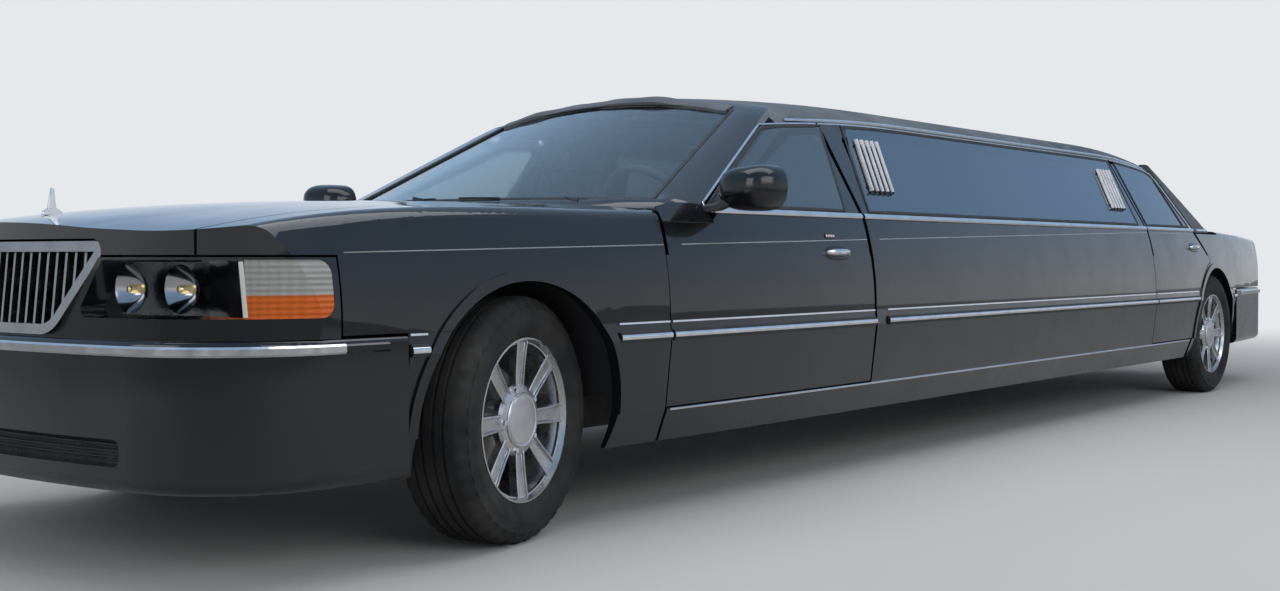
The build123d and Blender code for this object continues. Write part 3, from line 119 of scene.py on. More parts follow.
def corner_x(z):
    # where the windshield's outer face meets the window band at this height
    x = 2.0
    for _ in range(8):
        drop = arc_drop(shield_bend, band_y(x, z)) / math.cos(math.atan(shield_slope))
        x = shield_foot[0] - (z + drop - shield_foot[1]) / shield_slope
    return x


def below_rail(xs, gap):
    # points (x, z) a little below the roof's lower edge
    return [(x, rail_at(x) - gap) for x in xs]


# Panes and the bright lines over them, as points (x, z) on the window band
pane_gap, line_gap, pane_foot, line_foot = 0.014, 0.005, 0.984, 0.962
window_outlines = {
    "front": [
        (1.418, pane_foot), *below_rail(evenly(1.292, 1.62, 6), pane_gap),
        *[(corner_x(z) - 0.045, z) for z in (1.276, 1.22, 1.14, 1.05, pane_foot)],
    ],
    "rear": [
        (-2.488, pane_foot), (-2.425, 1.1), (-2.365, 1.21), (-2.315, 1.265),
        *below_rail(evenly(-2.24, -1.795, 6), pane_gap), (-1.775, pane_foot),
    ],
    "long": [(-1.64, pane_foot), *below_rail(evenly(-1.708, 1.122, 12), pane_gap), (1.238, pane_foot)],
}
bright_lines = {
    "front": [
        (2.20, line_foot), (2.275, line_foot), (corner_x(0.972) - 0.042, 0.972),
        *[(corner_x(z) - 0.012, z) for z in (0.99, 1.02, 1.06, 1.1, 1.15, 1.2, 1.245, 1.276)],
        (1.735, 1.292), (1.70, 1.2955), *below_rail((1.62, 1.52, 1.42, front_door_rear), line_gap),
    ],
    "rear": [
        *below_rail((rear_door_front, -1.9, -2.1), line_gap), (-2.24, 1.302), (-2.31, 1.287),
        (-2.352, 1.255), (-2.39, 1.195), (-2.448, 1.1), (-2.506, 1.0), (-2.526, line_foot),
    ],
    "long": below_rail(evenly(long_front, long_rear, 24), line_gap),
}
pane_divider = [(-2.325, 1.25), (-2.36, 1.12), (-2.392, 0.99)]
door_corner = [
    (2.5525, 0.925), (2.5525, 0.972), (2.49, 0.984), (2.40, 0.988), (2.33, 0.986), (2.29, 0.978),
    (2.285, 0.925),
]
mirror_plate = [(2.285, 0.974), (2.165, 1.038), (2.125, 1.05), (2.11, 0.974)]


# Materials
def new_node(tree, kind, **settings):
    # a shader node with its inputs and other settings
    node = tree.nodes.new(f"ShaderNode{kind}")
    for key, value in settings.items():
        if key in node.inputs:
            node.inputs[key].default_value = value
        else:
            setattr(node, key, value)
    return node


def map_range(tree, source, start, stop, low=0.0, high=1.0, **settings):
    node = new_node(tree, "MapRange", **settings)
    for key, value in (("From Min", start), ("From Max", stop), ("To Min", low), ("To Max", high)):
        node.inputs[key].default_value = value
    tree.links.new(source, node.inputs["Value"])
    return node.outputs["Result"]


def combined(tree, operation, first, second):
    node = new_node(tree, "Math", operation=operation)
    tree.links.new(first, node.inputs[0])
    tree.links.new(second, node.inputs[1])
    return node.outputs[0]


class Shader:
    # a Principled material with helpers that add the detail of a real surface
    def __init__(self, name, color, rough, metal=0.0, coat=0.0, spec=0.5):
        self.material = bpy.data.materials.new(name)
        self.material.use_nodes = True
        self.tree = self.material.node_tree
        self.bsdf = self.tree.nodes["Principled BSDF"]
        self.color = color
        self.set("Base Color", (*color, 1))
        self.set("Roughness", rough)
        self.set("Metallic", metal)
        self.set("Coat Weight", coat)
        self.set("Coat Roughness", 0.03)
        self.set("Specular IOR Level", spec)
        self.place = new_node(self.tree, "TexCoord").outputs["Object"]

    def set(self, socket, value):
        self.bsdf.inputs[socket].default_value = value
        return self

    def link(self, source, target):
        self.tree.links.new(source, target)

    def pattern(self, kind, output, stretch=None, **settings):
        node = new_node(self.tree, kind, **settings)
        place = self.place
        if stretch:
            mapping = new_node(self.tree, "Mapping", Scale=stretch)
            self.link(place, mapping.inputs["Vector"])
            place = mapping.outputs["Vector"]
        self.link(place, node.inputs["Vector"])
        return node.outputs[output]

    def noise(self, scale, detail=4, stretch=None):
        return self.pattern("TexNoise", "Fac", stretch, Scale=scale, Detail=detail)

    def cells(self, scale):
        return self.pattern("TexVoronoi", "Distance", Scale=scale)

    def waves(self, scale, direction):
        return self.pattern("TexWave", "Fac", Scale=scale, Distortion=0, bands_direction=direction)

    def tone(self, source, dark, light, start=0.3, stop=0.7):
        # the base colour runs from dark to light with the pattern
        ramp = new_node(self.tree, "ValToRGB")
        for element, place, color in zip(ramp.color_ramp.elements, (start, stop), (dark, light)):
            element.position = place
            element.color = (*color, 1)
        self.link(source, ramp.inputs["Fac"])
        self.link(ramp.outputs["Color"], self.bsdf.inputs["Base Color"])
        return self

    def gloss(self, source, low, high):
        # the roughness runs from low to high with the pattern
        self.link(map_range(self.tree, source, 0.3, 0.7, low, high), self.bsdf.inputs["Roughness"])
        return self

    def relief(self, *layers):
        # bumps in metres: each layer is a pattern and its depth
        normal = None
        for source, depth in layers:
            bump = new_node(self.tree, "Bump", Strength=1.0, Distance=depth)
            self.link(source, bump.inputs["Height"])
            if normal is not None:
                self.link(normal, bump.inputs["Normal"])
            normal = bump.outputs["Normal"]
        self.link(normal, self.bsdf.inputs["Normal"])
        return self


def times(color, share):
    return tuple(min(1, c * share) for c in color)


def paint():
    m = Shader("black_paint", (0.004, 0.0045, 0.006), 0.3, coat=1.0, spec=0.12).set("Coat IOR", 1.45)
    return m.gloss(m.noise(5, 5), 0.22, 0.42).relief((m.noise(900, 2), 0.00002))


def vinyl():
    m = Shader("padded_vinyl", (0.07, 0.078, 0.088), 0.55, spec=0.4)
    m.tone(m.noise(3.2, 5), (0.045, 0.05, 0.058), (0.105, 0.115, 0.13))
    m.gloss(m.noise(9), 0.42, 0.68)
    folds, creases = m.noise(2.6, 3, (1, 2.6, 3)), m.noise(9, 4, (2.2, 0.7, 1))
    return m.relief((folds, 0.02), (creases, 0.006), (m.cells(420), 0.0012))


def clear_glass(name, color, rough=0.02, ior=1.45):
    m = Shader(name, color, rough).set("Transmission Weight", 1.0).set("IOR", ior)
    return m.gloss(m.noise(4), rough * 0.5, rough * 2)


def dark_glass():
    m = Shader("privacy_glass", (0.24, 0.29, 0.34), 0.03, metal=0.6)
    m.set("Transmission Weight", 1.0).set("IOR", 1.5)
    return m.gloss(m.noise(3), 0.02, 0.06)


def chrome(name="polished_chrome", level=0.72, low=0.07, high=0.2):
    m = Shader(name, (level, level, level * 1.02), low, metal=1.0)
    m.tone(m.noise(14, 5), times(m.color, 0.82), m.color, 0.25, 0.6)
    return m.gloss(m.noise(30, 5), low, high)


def grained(name, color, rough=0.6, scale=700, depth=0.0004, spread=0.25, metal=0.0, spec=0.5):
    m = Shader(name, color, rough, metal=metal, spec=spec)
    m.tone(m.noise(6, 6), times(color, 1 - spread), times(color, 1 + spread))
    m.gloss(m.noise(18), rough - 0.08, min(1, rough + 0.1))
    return m.relief((m.noise(scale, 3), depth))


def tyre_rubber():
    m = Shader("tyre_rubber", (0.02, 0.02, 0.021), 0.8, spec=0.3)
    m.tone(m.noise(7, 7), (0.01, 0.01, 0.0105), (0.035, 0.033, 0.03), 0.35, 0.75)
    m.gloss(m.noise(25), 0.68, 0.9)
    return m.relief((m.noise(350), 0.0006))


def hide(name, color):
    m = Shader(name, color, 0.5, spec=0.4)
    m.tone(m.noise(5), times(color, 0.75), times(color, 1.3))
    m.gloss(m.noise(12), 0.38, 0.6)
    return m.relief((m.cells(260), 0.0008), (m.noise(24, 3), 0.003))


def moulded_lens(name, color, ior=1.2, depth=0.0012, through=0.92):
    # a lens with upright and level ribs
    m = Shader(name, color, 0.04).set("Transmission Weight", through).set("IOR", ior)
    return m.gloss(m.noise(8), 0.03, 0.1).relief((m.waves(26, "Y"), depth), (m.waves(22, "Z"), depth))


def split_lens():
    # clear above, amber below
    m = moulded_lens("corner_lens", (0.9, 0.9, 0.9), depth=0.003, through=0.35)
    height = new_node(m.tree, "SeparateXYZ")
    m.link(m.place, height.inputs["Vector"])
    return m.tone(height.outputs["Z"], (0.8, 0.17, 0.03), (0.45, 0.46, 0.45), 0.719, 0.721)


shaders = {
    "paint": paint(),
    "vinyl": vinyl(),
    "glass": clear_glass("clear_glass", (0.78, 0.87, 0.84)),
    "dark_glass": dark_glass(),
    "chrome": chrome(),
    "wheel_metal": chrome("wheel_metal", 0.5, 0.2, 0.42),
    "tyre": tyre_rubber(),
    "black_plastic": grained("black_plastic", (0.018, 0.018, 0.02), 0.5),
    "lamp_clear": clear_glass("clear_lens", (0.93, 0.95, 0.96), 0.02, 1.12),
    "lamp_amber": split_lens(),
    "lamp_red": moulded_lens("red_lens", (0.55, 0.015, 0.012), 1.3),
    "chassis": grained("chassis_paint", (0.022, 0.021, 0.02), 0.65, 90, 0.001),
    "cast": grained("cast_metal", (0.13, 0.12, 0.11), 0.55, 400, 0.0008, 0.35, metal=0.7),
    "steel": grained("dull_steel", (0.3, 0.28, 0.25), 0.45, 200, 0.0004, 0.35, metal=1.0),
    "seat_hide": hide("black_hide", (0.03, 0.03, 0.034)),
    "cabin_trim": grained("cabin_trim", (0.05, 0.05, 0.054), 0.62, 500, 0.0006),
    "gloss_black": grained("gloss_black", (0.006, 0.006, 0.007), 0.14, 900, 0.00002, 0.1, spec=0.45),
    "louvre": chrome("louvre_metal", 0.22, 0.16, 0.32),
    # grille metal darker than chrome: a painted dark reflection, standing in for the dark surroundings the
    # bright metal mirrors
    "grille_metal_painted_dark_reflection": chrome("grille_metal_painted_dark_reflection", 0.3, 0.18, 0.34),
    "door_glass": clear_glass("tinted_glass", (0.3, 0.36, 0.38), 0.02, 2.1),
    "mesh_black": grained("mesh_black", (0.01, 0.01, 0.011), 0.7, 120, 0.004),
    "reflector": chrome("lamp_reflector", 0.85, 0.05, 0.14),
    "bowl": chrome("lamp_bowl", 0.42, 0.06, 0.16),
    "lamp_back": chrome("lamp_back", 0.07, 0.2, 0.35),
    "bulb": grained("lamp_bulb", (0.85, 0.66, 0.34), 0.2, 300, 0.0001, 0.1, metal=1.0),
    "pale_frame": grained("pale_lamp_frame", (0.55, 0.55, 0.53), 0.35, 300, 0.0001, 0.1),
    "cap": chrome("wheel_cap", 0.6, 0.26, 0.42),
    "pinstripe": grained("pinstripe", (0.28, 0.29, 0.3), 0.4, 300, 0.0001),
    "rubber": grained("seal_rubber", (0.012, 0.012, 0.013), 0.6, 300, 0.0004),
}
materials = {key: shader.material for key, shader in shaders.items()}
for row in frame["record"]["subparts"]:
    obj = nodes[row["node"]]
    if not obj.material_slots:
        obj.data.materials.append(None)
    for place in obj.material_slots:
        # the whole grille takes the darkened grille metal, whose darkness is a painted dark reflection
        place.material = materials["grille_metal_painted_dark_reflection" if row["node"] == "grille" else row["material_slot"]]


# Building helpers
def placed(name, data):
    obj = bpy.data.objects.new(name, data)
    scene.collection.objects.link(obj)
    return obj


def solid(name, body, verts, faces, material, bevel=0):
    # a mesh piece that rides on a body, with its faces turned outwards
    mesh = bpy.data.meshes.new(name)
    mesh.from_pydata(verts, [], faces)
    work = bmesh.new()
    work.from_mesh(mesh)
    bmesh.ops.recalc_face_normals(work, faces=work.faces)
    work.to_mesh(mesh)
    work.free()
    mesh.materials.append(materials[material])
    obj = placed(name, mesh)
    if bevel:
        edge = obj.modifiers.new("edge", "BEVEL")
        edge.width, edge.segments, edge.limit_method = bevel, 2, "ANGLE"
    for face in mesh.polygons:
        face.use_smooth = True
    mesh.set_sharp_from_angle(angle=math.radians(40))
    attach(obj, body)
    return obj


def between(a, b, count):
    # faces that join two rings of points, which start at a and b
    return [(a + k, a + (k + 1) % count, b + (k + 1) % count, b + k) for k in range(count)]


def caps(ring, count):
    # the end faces of a run of rings
    return [tuple(range(ring)), tuple(range((count - 1) * ring, count * ring))]


def capsule(half, tall, sink=0.001):
    # a flat-topped section with chamfered edges
    edge = [(-half, -sink), (-half, tall * 0.5), (-half * 0.6, tall)]
    return edge + [(-s, n) for s, n in reversed(edge)]


def flat(half, low, high):
    # an oblong section
    return [(-half, low), (-half, high), (half, high), (half, low)]


def sweep(name, body, points, normals, section, material, closed=False):
    # a section of (sideways, outward) offsets carried along a path that lies on a surface
    count, ring = len(points), len(section)
    verts, faces = [], []
    for i, (point, normal) in enumerate(zip(points, normals)):
        before = points[i - 1] if i or closed else points[0]
        after = points[(i + 1) % count] if i + 1 < count or closed else points[-1]
        along = (after - before).normalized()
        out = (normal - along * normal.dot(along)).normalized()
        across = along.cross(out)
        verts += [point + across * s + out * n for s, n in section]
    for i in range(count if closed else count - 1):
        faces += between(i * ring, (i + 1) % count * ring, ring)
    if not closed:
        faces += caps(ring, count)
    return solid(name, body, verts, faces, material)


def trace(name, body, found, section, material):
    # a strip through places found on a surface
    return sweep(name, body, [p for p, _ in found], [n for _, n in found], section, material)


@cache
def ray_tree(names):
    verts, faces = [], []
    for name in names:
        obj = nodes[name]
        start = len(verts)
        verts += [obj.matrix_world @ v.co for v in obj.data.vertices]
        faces += [[start + i for i in face.vertices] for face in obj.data.polygons]
    return BVHTree.FromPolygons(verts, faces)


def hit(names, origin, direction):
    # the place and the normal where a ray meets the named nodes
    direction = Vector(direction).normalized()
    point, normal, _, _ = ray_tree(tuple(names)).ray_cast(Vector(origin), direction)
    if point is None:
        return None
    return point, normal if normal.dot(direction) < 0 else -normal


def hits(names, origins, direction):
    found = [hit(names, origin, direction) for origin in origins]
    return [item for item in found if item]


def side_strip(name, node, body, start, stop, height, way, section, material, step=0.08):
    # a strip along the flank, at one height or at a function of length
    level = height if callable(height) else lambda _: height
    origins = [(x, way * beside, level(x)) for x in spaced(start, stop, step)]
    return trace(name, body, hits([node], origins, (0, -way, 0)), section, material)


def band_normal(way):
    return Vector((0, way * math.cos(tumble), math.sin(tumble)))


def on_band(x, z, way, lift):
    # a place so far out from the window band's skin
    return Vector((x, way * band_y(x, z), z)) + band_normal(way) * lift


def split_long(path):
    # a closed path with points along its longer sides
    full = []
    for a, b in zip(path, path[1:] + path[:1]):
        count = max(1, int((b - a).length / 0.12))
        full += [a.lerp(b, i / count) for i in range(count)]
    return full


def band_strip(name, body, points, way, section, material, lift=0.0, closed=False):
    # a strip through points (x, z) of the window band
    line = [on_band(x, z, way, lift) for x, z in points]
    return sweep(name, body, line, [band_normal(way)] * len(line), section, material, closed)


def pane(name, body, outline, way, lift, thick, material):
    # a sheet on the window band inside a convex outline, built as upright strips
    columns, near_end = 40, 0.0005
    xs = [p[0] for p in outline]
    verts, faces = [], []
    for i in range(columns + 1):
        x = min(xs) + (max(xs) - min(xs)) * min(max(i / columns, near_end), 1 - near_end)
        cuts = []
        for a, b in zip(outline, outline[1:] + outline[:1]):
            if min(a[0], b[0]) <= x <= max(a[0], b[0]) and a[0] != b[0]:
                cuts.append(a[1] + (b[1] - a[1]) * (x - a[0]) / (b[0] - a[0]))
        for z in (min(cuts), max(cuts)):
            verts += [on_band(x, z, way, lift), on_band(x, z, way, lift - thick)]
    for i in range(columns):
        a, b = 4 * i, 4 * i + 4
        faces += [(a, a + 2, b + 2, b), (a + 1, b + 1, b + 3, a + 3)]
        faces += [(a, b, b + 1, a + 1), (a + 2, a + 3, b + 3, b + 2)]
    last = 4 * columns
    faces += [(0, 1, 3, 2), (last, last + 2, last + 3, last + 1)]
    return solid(name, body, verts, faces, material)


def turned(name, body, place, profile, material, slot=None, segments=72):
    # a closed outline of (radius, along) points turned about the local Y axis
    verts, rings, faces = [], [], []
    for r, y in profile:
        if r < 1e-6:
            rings.append([len(verts)] * segments)
            verts.append(place @ Vector((0, y, 0)))
        else:
            rings.append(list(range(len(verts), len(verts) + segments)))
            angles = (2 * math.pi * k / segments for k in range(segments))
            verts += [place @ Vector((r * math.cos(t), y, r * math.sin(t))) for t in angles]
    for low, high in zip(rings, rings[1:] + rings[:1]):
        if low[0] == low[1] and high[0] == high[1]:
            continue
        for k in range(segments):
            k2 = (k + 1) % segments
            corner = [low[k], low[k2], high[k2], high[k]]
            faces.append(tuple(dict.fromkeys(corner)))
    return solid(name, body, verts, faces, material)


def dome(name, body, centre, along, out, half_long, half_tall, tall, material, slot=None, power=2.0):
    # an oval crowned plate lying on a surface: each level is a share of its size and of its height
    levels, count = ((0.55, 0.93), (0.85, 0.68), (0.97, 0.34), (1.0, 0.0), (1.0, -0.12)), 40
    across = out.cross(along).normalized()
    verts = [centre + out * tall]
    for share, height in levels:
        for k in range(count):
            t = 2 * math.pi * k / count
            c, d = math.cos(t), math.sin(t)
            u = math.copysign(abs(c) ** (2 / power), c) * half_long * share
            v = math.copysign(abs(d) ** (2 / power), d) * half_tall * share
            verts.append(centre + along * u + across * v + out * tall * height)
    faces = [(0, 1 + k, 1 + (k + 1) % count) for k in range(count)]
    last = 1 + (len(levels) - 1) * count
    for start in range(1, last, count):
        faces += between(start, start + count, count)
    faces.append(tuple(range(last, last + count)))
    return solid(name, body, verts, faces, material)


def block(name, body, low, high, material, bevel=0.004):
    corners = [(x, y, z) for x in (low[0], high[0]) for y in (low[1], high[1]) for z in (low[2], high[2])]
    faces = [(0, 1, 3, 2), (4, 6, 7, 5), (0, 4, 5, 1), (2, 3, 7, 6), (0, 2, 6, 4), (1, 5, 7, 3)]
    return solid(name, body, corners, faces, material, bevel=bevel)


def sided(node, body, side):
    # a door's node and body have a side in their names, the rest have none
    return (f"{node}_{side}", f"{body}_{side}") if node.endswith("door") else (node, body)


# Flank trim, with a chrome line along the crease as a painted highlight: panel, body and the two ends of the
# strips
moulding_z, ledge_highlight_z, belt_strip_z, sill_line_z, roof_foot_z = 0.571, 0.612, 0.965, 0.3365, 0.966
insert_section = [(s, n + 0.0085) for s, n in capsule(0.0075, 0.004)]
panels = [
    ("front_fenders", "root", fender_rear, 2.806), ("front_fenders", "root", 3.553, 3.611),
    ("front_door", "door_front", front_door_rear, front_door_front),
    ("body_sides", "root", long_rear, long_front),
    ("rear_door", "door_rear", -2.462, rear_door_front), ("rear_body", "root", -3.308, -3.229),
]
for side, way in sides:
    for index, (node, body, start, stop) in enumerate(panels):
        node, body = sided(node, body, side)
        name = f"{node}_{index}" if side in node else f"{node}_{index}_{side}"
        for piece, height, section, material in (
            ("moulding", moulding_z, capsule(0.017, 0.009), "rubber"),
            ("insert", moulding_z, insert_section, "chrome"),
            # a chrome strip along the body's crease: a painted highlight standing in for the sky's reflection
            # on the crease
            ("ledge_highlight_line", ledge_highlight_z, capsule(0.0045, 0.005), "chrome"),
        ):
            side_strip(f"{piece}_{name}", node, body, start, stop, height, way, section, material)


def stripe_z(x):
    return 0.876 - (max(x, -1.7) - 1.4) * 0.0217


stripe_section = flat(0.0014, -0.0003, 0.0004)
stripes = [
    ("front_fenders", "root", fender_rear, 3.80),
    ("front_door", "door_front", front_door_rear, front_door_front),
    ("body_sides", "root", long_rear, long_front),
    ("rear_door", "door_rear", -2.53, rear_door_front), ("rear_body", "root", -3.95, -2.62),
]
for side, way in sides:
    for node, body, start, stop in stripes:
        node, body = sided(node, body, side)
        name = node if side in node else f"{node}_{side}"
        side_strip(f"pinstripe_{name}", node, body, start, stop, stripe_z, way, stripe_section, "pinstripe")

# Sill lines and belt strips
for side, way in sides:
    side_strip(f"sill_line_{side}", "body_sides", "root", -2.36, 2.54, sill_line_z, way,
               capsule(0.004, 0.005), "chrome")
    for name, body, start, stop in (
        (f"front_{side}", f"door_front_{side}", front_door_rear, 2.262),
        (f"long_{side}", "root", long_rear, long_front),
        (f"rear_{side}", f"door_rear_{side}", -2.532, rear_door_front),
    ):
        points = [(x, belt_strip_z) for x in spaced(start, stop, 0.15)]
        band_strip(f"belt_strip_{name}", body, points, way, capsule(0.0115, 0.010), "chrome")

# Window panes with a black seal round each, and the bright line over them all
window_bodies = {"front": "door_front_{}", "rear": "door_rear_{}", "long": "root"}
pane_nodes = {"front": "front_door_glass_{}", "rear": "rear_door_glass_{}", "long": "side_glass"}
for side, way in sides:
    for key, outline in window_outlines.items():
        body = window_bodies[key].format(side)
        material, slot = ("door_glass", "glass") if key == "front" else ("dark_glass", None)
        glass = pane(f"pane_{key}_{side}", body, outline, way, 0.0015, 0.0035, material)
        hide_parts(pane_nodes[key].format(side))
        path = split_long([Vector(p) for p in outline])
        band_strip(f"window_seal_{key}_{side}", body, path, way, capsule(0.007, 0.003), "rubber", 0.001, True)
        section = capsule(0.0045, 0.0055)
        band_strip(f"bright_line_{key}_{side}", body, bright_lines[key], way, section, "chrome")
    section = capsule(0.011, 0.005)
    band_strip(f"pane_divider_{side}", f"door_rear_{side}", pane_divider, way, section, "rubber", 0.001)
    pane(f"door_corner_{side}", f"door_front_{side}", door_corner, way, 0, 0.05, "paint")
    pane(f"mirror_plate_{side}", f"door_front_{side}", mirror_plate, way, 0.0045, 0.004, "black_plastic")

# Drip rails along the roof's lower edge, and strips at its rear foot
for side, way in sides:
    side_strip(f"drip_rail_{side}", "roof", "root", -2.36, 1.52, lambda x: rail_at(x) + 0.008, way,
               capsule(0.007, 0.008), "chrome")
    side_strip(f"roof_foot_{side}", "roof", "root", -3.0, -2.575, roof_foot_z, way,
               capsule(0.009, 0.008), "chrome", 0.05)

# The roof covering's rolled front edge, lumpy where it lifts from the header
roll_x, roll_half = shield_head[0] + 0.034, 0.57
roll_section = [
    (-0.036, -0.012), (-0.036, 0.001), (-0.022, 0.010), (0.012, 0.012), (0.03, 0.007), (0.034, -0.004),
    (0.03, -0.012),
]


def lump(y):
    rise = 0.004 * math.exp(-((y - 0.2) / 0.12) ** 2)
    return 0.0025 * math.sin(11 * y) + 0.002 * math.sin(29 * y + 1) + rise


origins = [(roll_x, y, above) for y in spaced(-roll_half, roll_half, 0.03)]
found = hits(["windshield_frame", "roof"], origins, down)
trace("roof_front_roll", "root", [(p + n * lump(p.y), n) for p, n in found], roll_section, "vinyl")

# Bumper strips, followed round each end from a place inside it
strip_z, strip_half, strip_proud = 0.587, 0.0125, 0.010
bright_from, painted_to, strip_turn = 3.806, 3.83, math.radians(72)
for node, centre, turn, nearest in (("front_bumper", 3.2, 0, 3.67), ("rear_bumper", -3.1, math.pi, 3.4)):
    found = []
    for angle in spaced(-strip_turn, strip_turn, math.radians(1.6)):
        out = Vector((math.cos(turn + angle), math.sin(turn + angle), 0))
        item = hit([node], Vector((centre, 0, strip_z)) + out * 3, -out)
        if item and abs(item[0].x) > nearest:
            found.append(item)
    front = node == "front_bumper"
    bright = [item for item in found if abs(item[0].x) > bright_from or not front]
    trace(f"{node}_strip", "root", bright, capsule(strip_half, strip_proud), "chrome")
    if front:
        for side, way in sides:
            end = [item for item in found if item[0].y * way > 0 and abs(item[0].x) <= painted_to]
            section = capsule(strip_half - 0.001, strip_proud - 0.001)
            trace(f"{node}_strip_end_{side}", "root", end, section, "paint")

# Mesh in the bumper's intake, and the radiator behind the grille
mesh_z, mesh_behind, mesh_section = 0.3385, 0.05, flat(0.036, -0.002, 0.002)
found = hits(["front_bumper"], [(ahead, y, 0.45) for y in spaced(-0.57, 0.57, 0.04)], back)
found = [(Vector((p.x - mesh_behind, p.y, mesh_z)), n) for p, n in found]
trace("intake_mesh", "root", found, mesh_section, "mesh_black")
for index in range(3):
    bar = [(p + Vector((0.008, 0, (index - 1) * 0.016)), n) for p, n in found]
    trace(f"intake_bar_{index}", "root", bar, capsule(0.0022, 0.004), "black_plastic")
block("radiator_top", "root", (3.985, -0.52, 0.575), (4.0, 0.52, 0.845), "mesh_black", 0.003)
block("radiator_low", "root", (3.985, -0.36, 0.33), (4.0, 0.36, 0.575), "mesh_black", 0.003)

# Front lamps: a dark backing, two bowls with a bulb each, and the corner lamp's pale divider
lamp_y, lamp_z, lamp_middle = (0.40, 0.80), (0.670, 0.800), 0.735
backing_behind, backing_thick, backing_steps = 0.1, 0.004, 23
bowl_places, bowl_deep = ((0.545, 0.06), (0.675, 0.06)), 0.045
divider_x, divider_lean = 4.049, 0.06
bulb_profile = [(0, 0.006), (0.008, 0.004), (0.0115, -0.002), (0.0115, -0.046), (0, -0.046)]
for side, way in sides:
    verts, faces = [], caps(4, backing_steps + 1)
    for y in evenly(*lamp_y, backing_steps):
        face = hit(["headlamps"], (ahead, way * y, lamp_middle), back)
        x = (face[0].x if face else 4.1) - backing_behind
        verts += [(x, way * y, z) for z in lamp_z]
        verts += [(x - backing_thick, way * y, z) for z in reversed(lamp_z)]
    for i in range(backing_steps):
        faces += between(4 * i, 4 * i + 4, 4)
    solid(f"lamp_back_{side}", "root", verts, faces, "lamp_back")
    for index, (y, radius) in enumerate(bowl_places):
        face = hit(["headlamps"], (ahead, way * (y + radius), lamp_middle), back)
        base = Vector((face[0].x - 0.012, way * y, lamp_middle))
        place = Matrix.Translation(base) @ Matrix.Rotation(-math.pi / 2, 4, "Z")
        curve = [(radius * t, bowl_deep * (t * t - 1)) for t in (1, 0.9, 0.75, 0.6, 0.45, 0.3, 0.18)]
        outline = curve + [(r, y0 - 0.002) for r, y0 in reversed(curve)]
        turned(f"lamp_bowl_{side}_{index}", "root", place, outline, "bowl", "chrome", 48)
        turned(f"lamp_bulb_{side}_{index}", "root", place, bulb_profile, "bulb", "chrome", 20)
    levels = spaced(0.668, 0.802, 0.02)
    origins = [(divider_x + divider_lean * (z - lamp_middle), way * beside, z) for z in levels]
    found = hits(["corner_lamps", "headlamps"], origins, (0, -way, 0))
    trace(f"lamp_divider_{side}", "root", found, capsule(0.0055, 0.002), "pale_frame")


# Tyres with grooved tread, shoulder blocks and ribbed side walls
def tyre(name, body, place, way, node):
    segments, radius, tread_deep, shoulder_y = 132, wheel_z, 0.007, 0.07
    tread = []
    for groove in (-0.05, -0.018, 0.018, 0.05):
        for y, deep in ((-0.0055, 0), (-0.004, tread_deep), (0.004, tread_deep), (0.0055, 0)):
            tread.append((radius - deep, groove + y))
    wall = [
        (radius, 0.078), (radius - 0.004, 0.088), (radius - 0.016, 0.1), (radius - 0.03, 0.107),
        (radius - 0.034, 0.109), (radius - 0.038, 0.108), (radius - 0.062, 0.1128),
        (radius - 0.066, 0.1135), (radius - 0.07, 0.1128), (0.262, 0.109), (0.25, 0.1025),
        (0.2355, 0.0965), (0.2345, 0.086), (0.219, 0.081),
    ]
    profile = [(r, -y) for r, y in reversed(wall)] + tread + wall
    count = len(profile)
    verts, faces = [], []
    for s in range(segments):
        angle = 2 * math.pi * s / segments
        for r, y in profile:
            if abs(y) > shoulder_y and r > radius - 0.033 and s % 3 == 0:
                r -= tread_deep
            verts.append(place @ Vector((r * math.cos(angle), way * y, r * math.sin(angle))))
        faces += between(s * count, (s + 1) % segments * count, count)
    obj = solid(name, body, verts, faces, "tyre")
    obj.data.set_sharp_from_angle(angle=math.radians(50))
    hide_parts(node)


# Rims: barrel, hub with its cap, brake disc and eight broad spokes with raised edges
rim_pieces = (
    ("rim_barrel", "wheel_metal", None, [
        (0.234, 0.098), (0.234, 0.086), (0.218, 0.082), (0.218, -0.082), (0.234, -0.086), (0.234, -0.098),
        (0.208, -0.098), (0.205, -0.074), (0.205, 0.03), (0.213, 0.062), (0.2215, 0.082), (0.2285, 0.0985),
    ]),
    ("rim_hub", "wheel_metal", None, [
        (0, 0.081), (0.084, 0.081), (0.098, 0.077), (0.104, 0.068), (0.1, 0.045), (0.052, 0.036),
        (0.052, -0.04), (0.0262, -0.04), (0.0262, 0.018), (0, 0.018),
    ]),
    ("rim_cap", "cap", "wheel_metal", [
        (0, 0.0875), (0.062, 0.0872), (0.0685, 0.0865), (0.0695, 0.0848), (0.0725, 0.0848), (0.076, 0.0866),
        (0.0785, 0.085), (0.079, 0.0805), (0, 0.0805),
    ]),
    ("brake_disc", "steel", None, [(0.053, -0.034), (0.15, -0.034), (0.15, -0.02), (0.053, -0.02)]),
)
spoke_count, spoke_deep, spoke_edge, spoke_dish = 8, 0.026, 0.0085, 0.0065
# radius, half width and face of a spoke
spoke_stations = (
    (0.086, 0.0225, 0.078), (0.13, 0.024, 0.0795), (0.18, 0.0262, 0.0835), (0.2235, 0.0285, 0.0885),
)


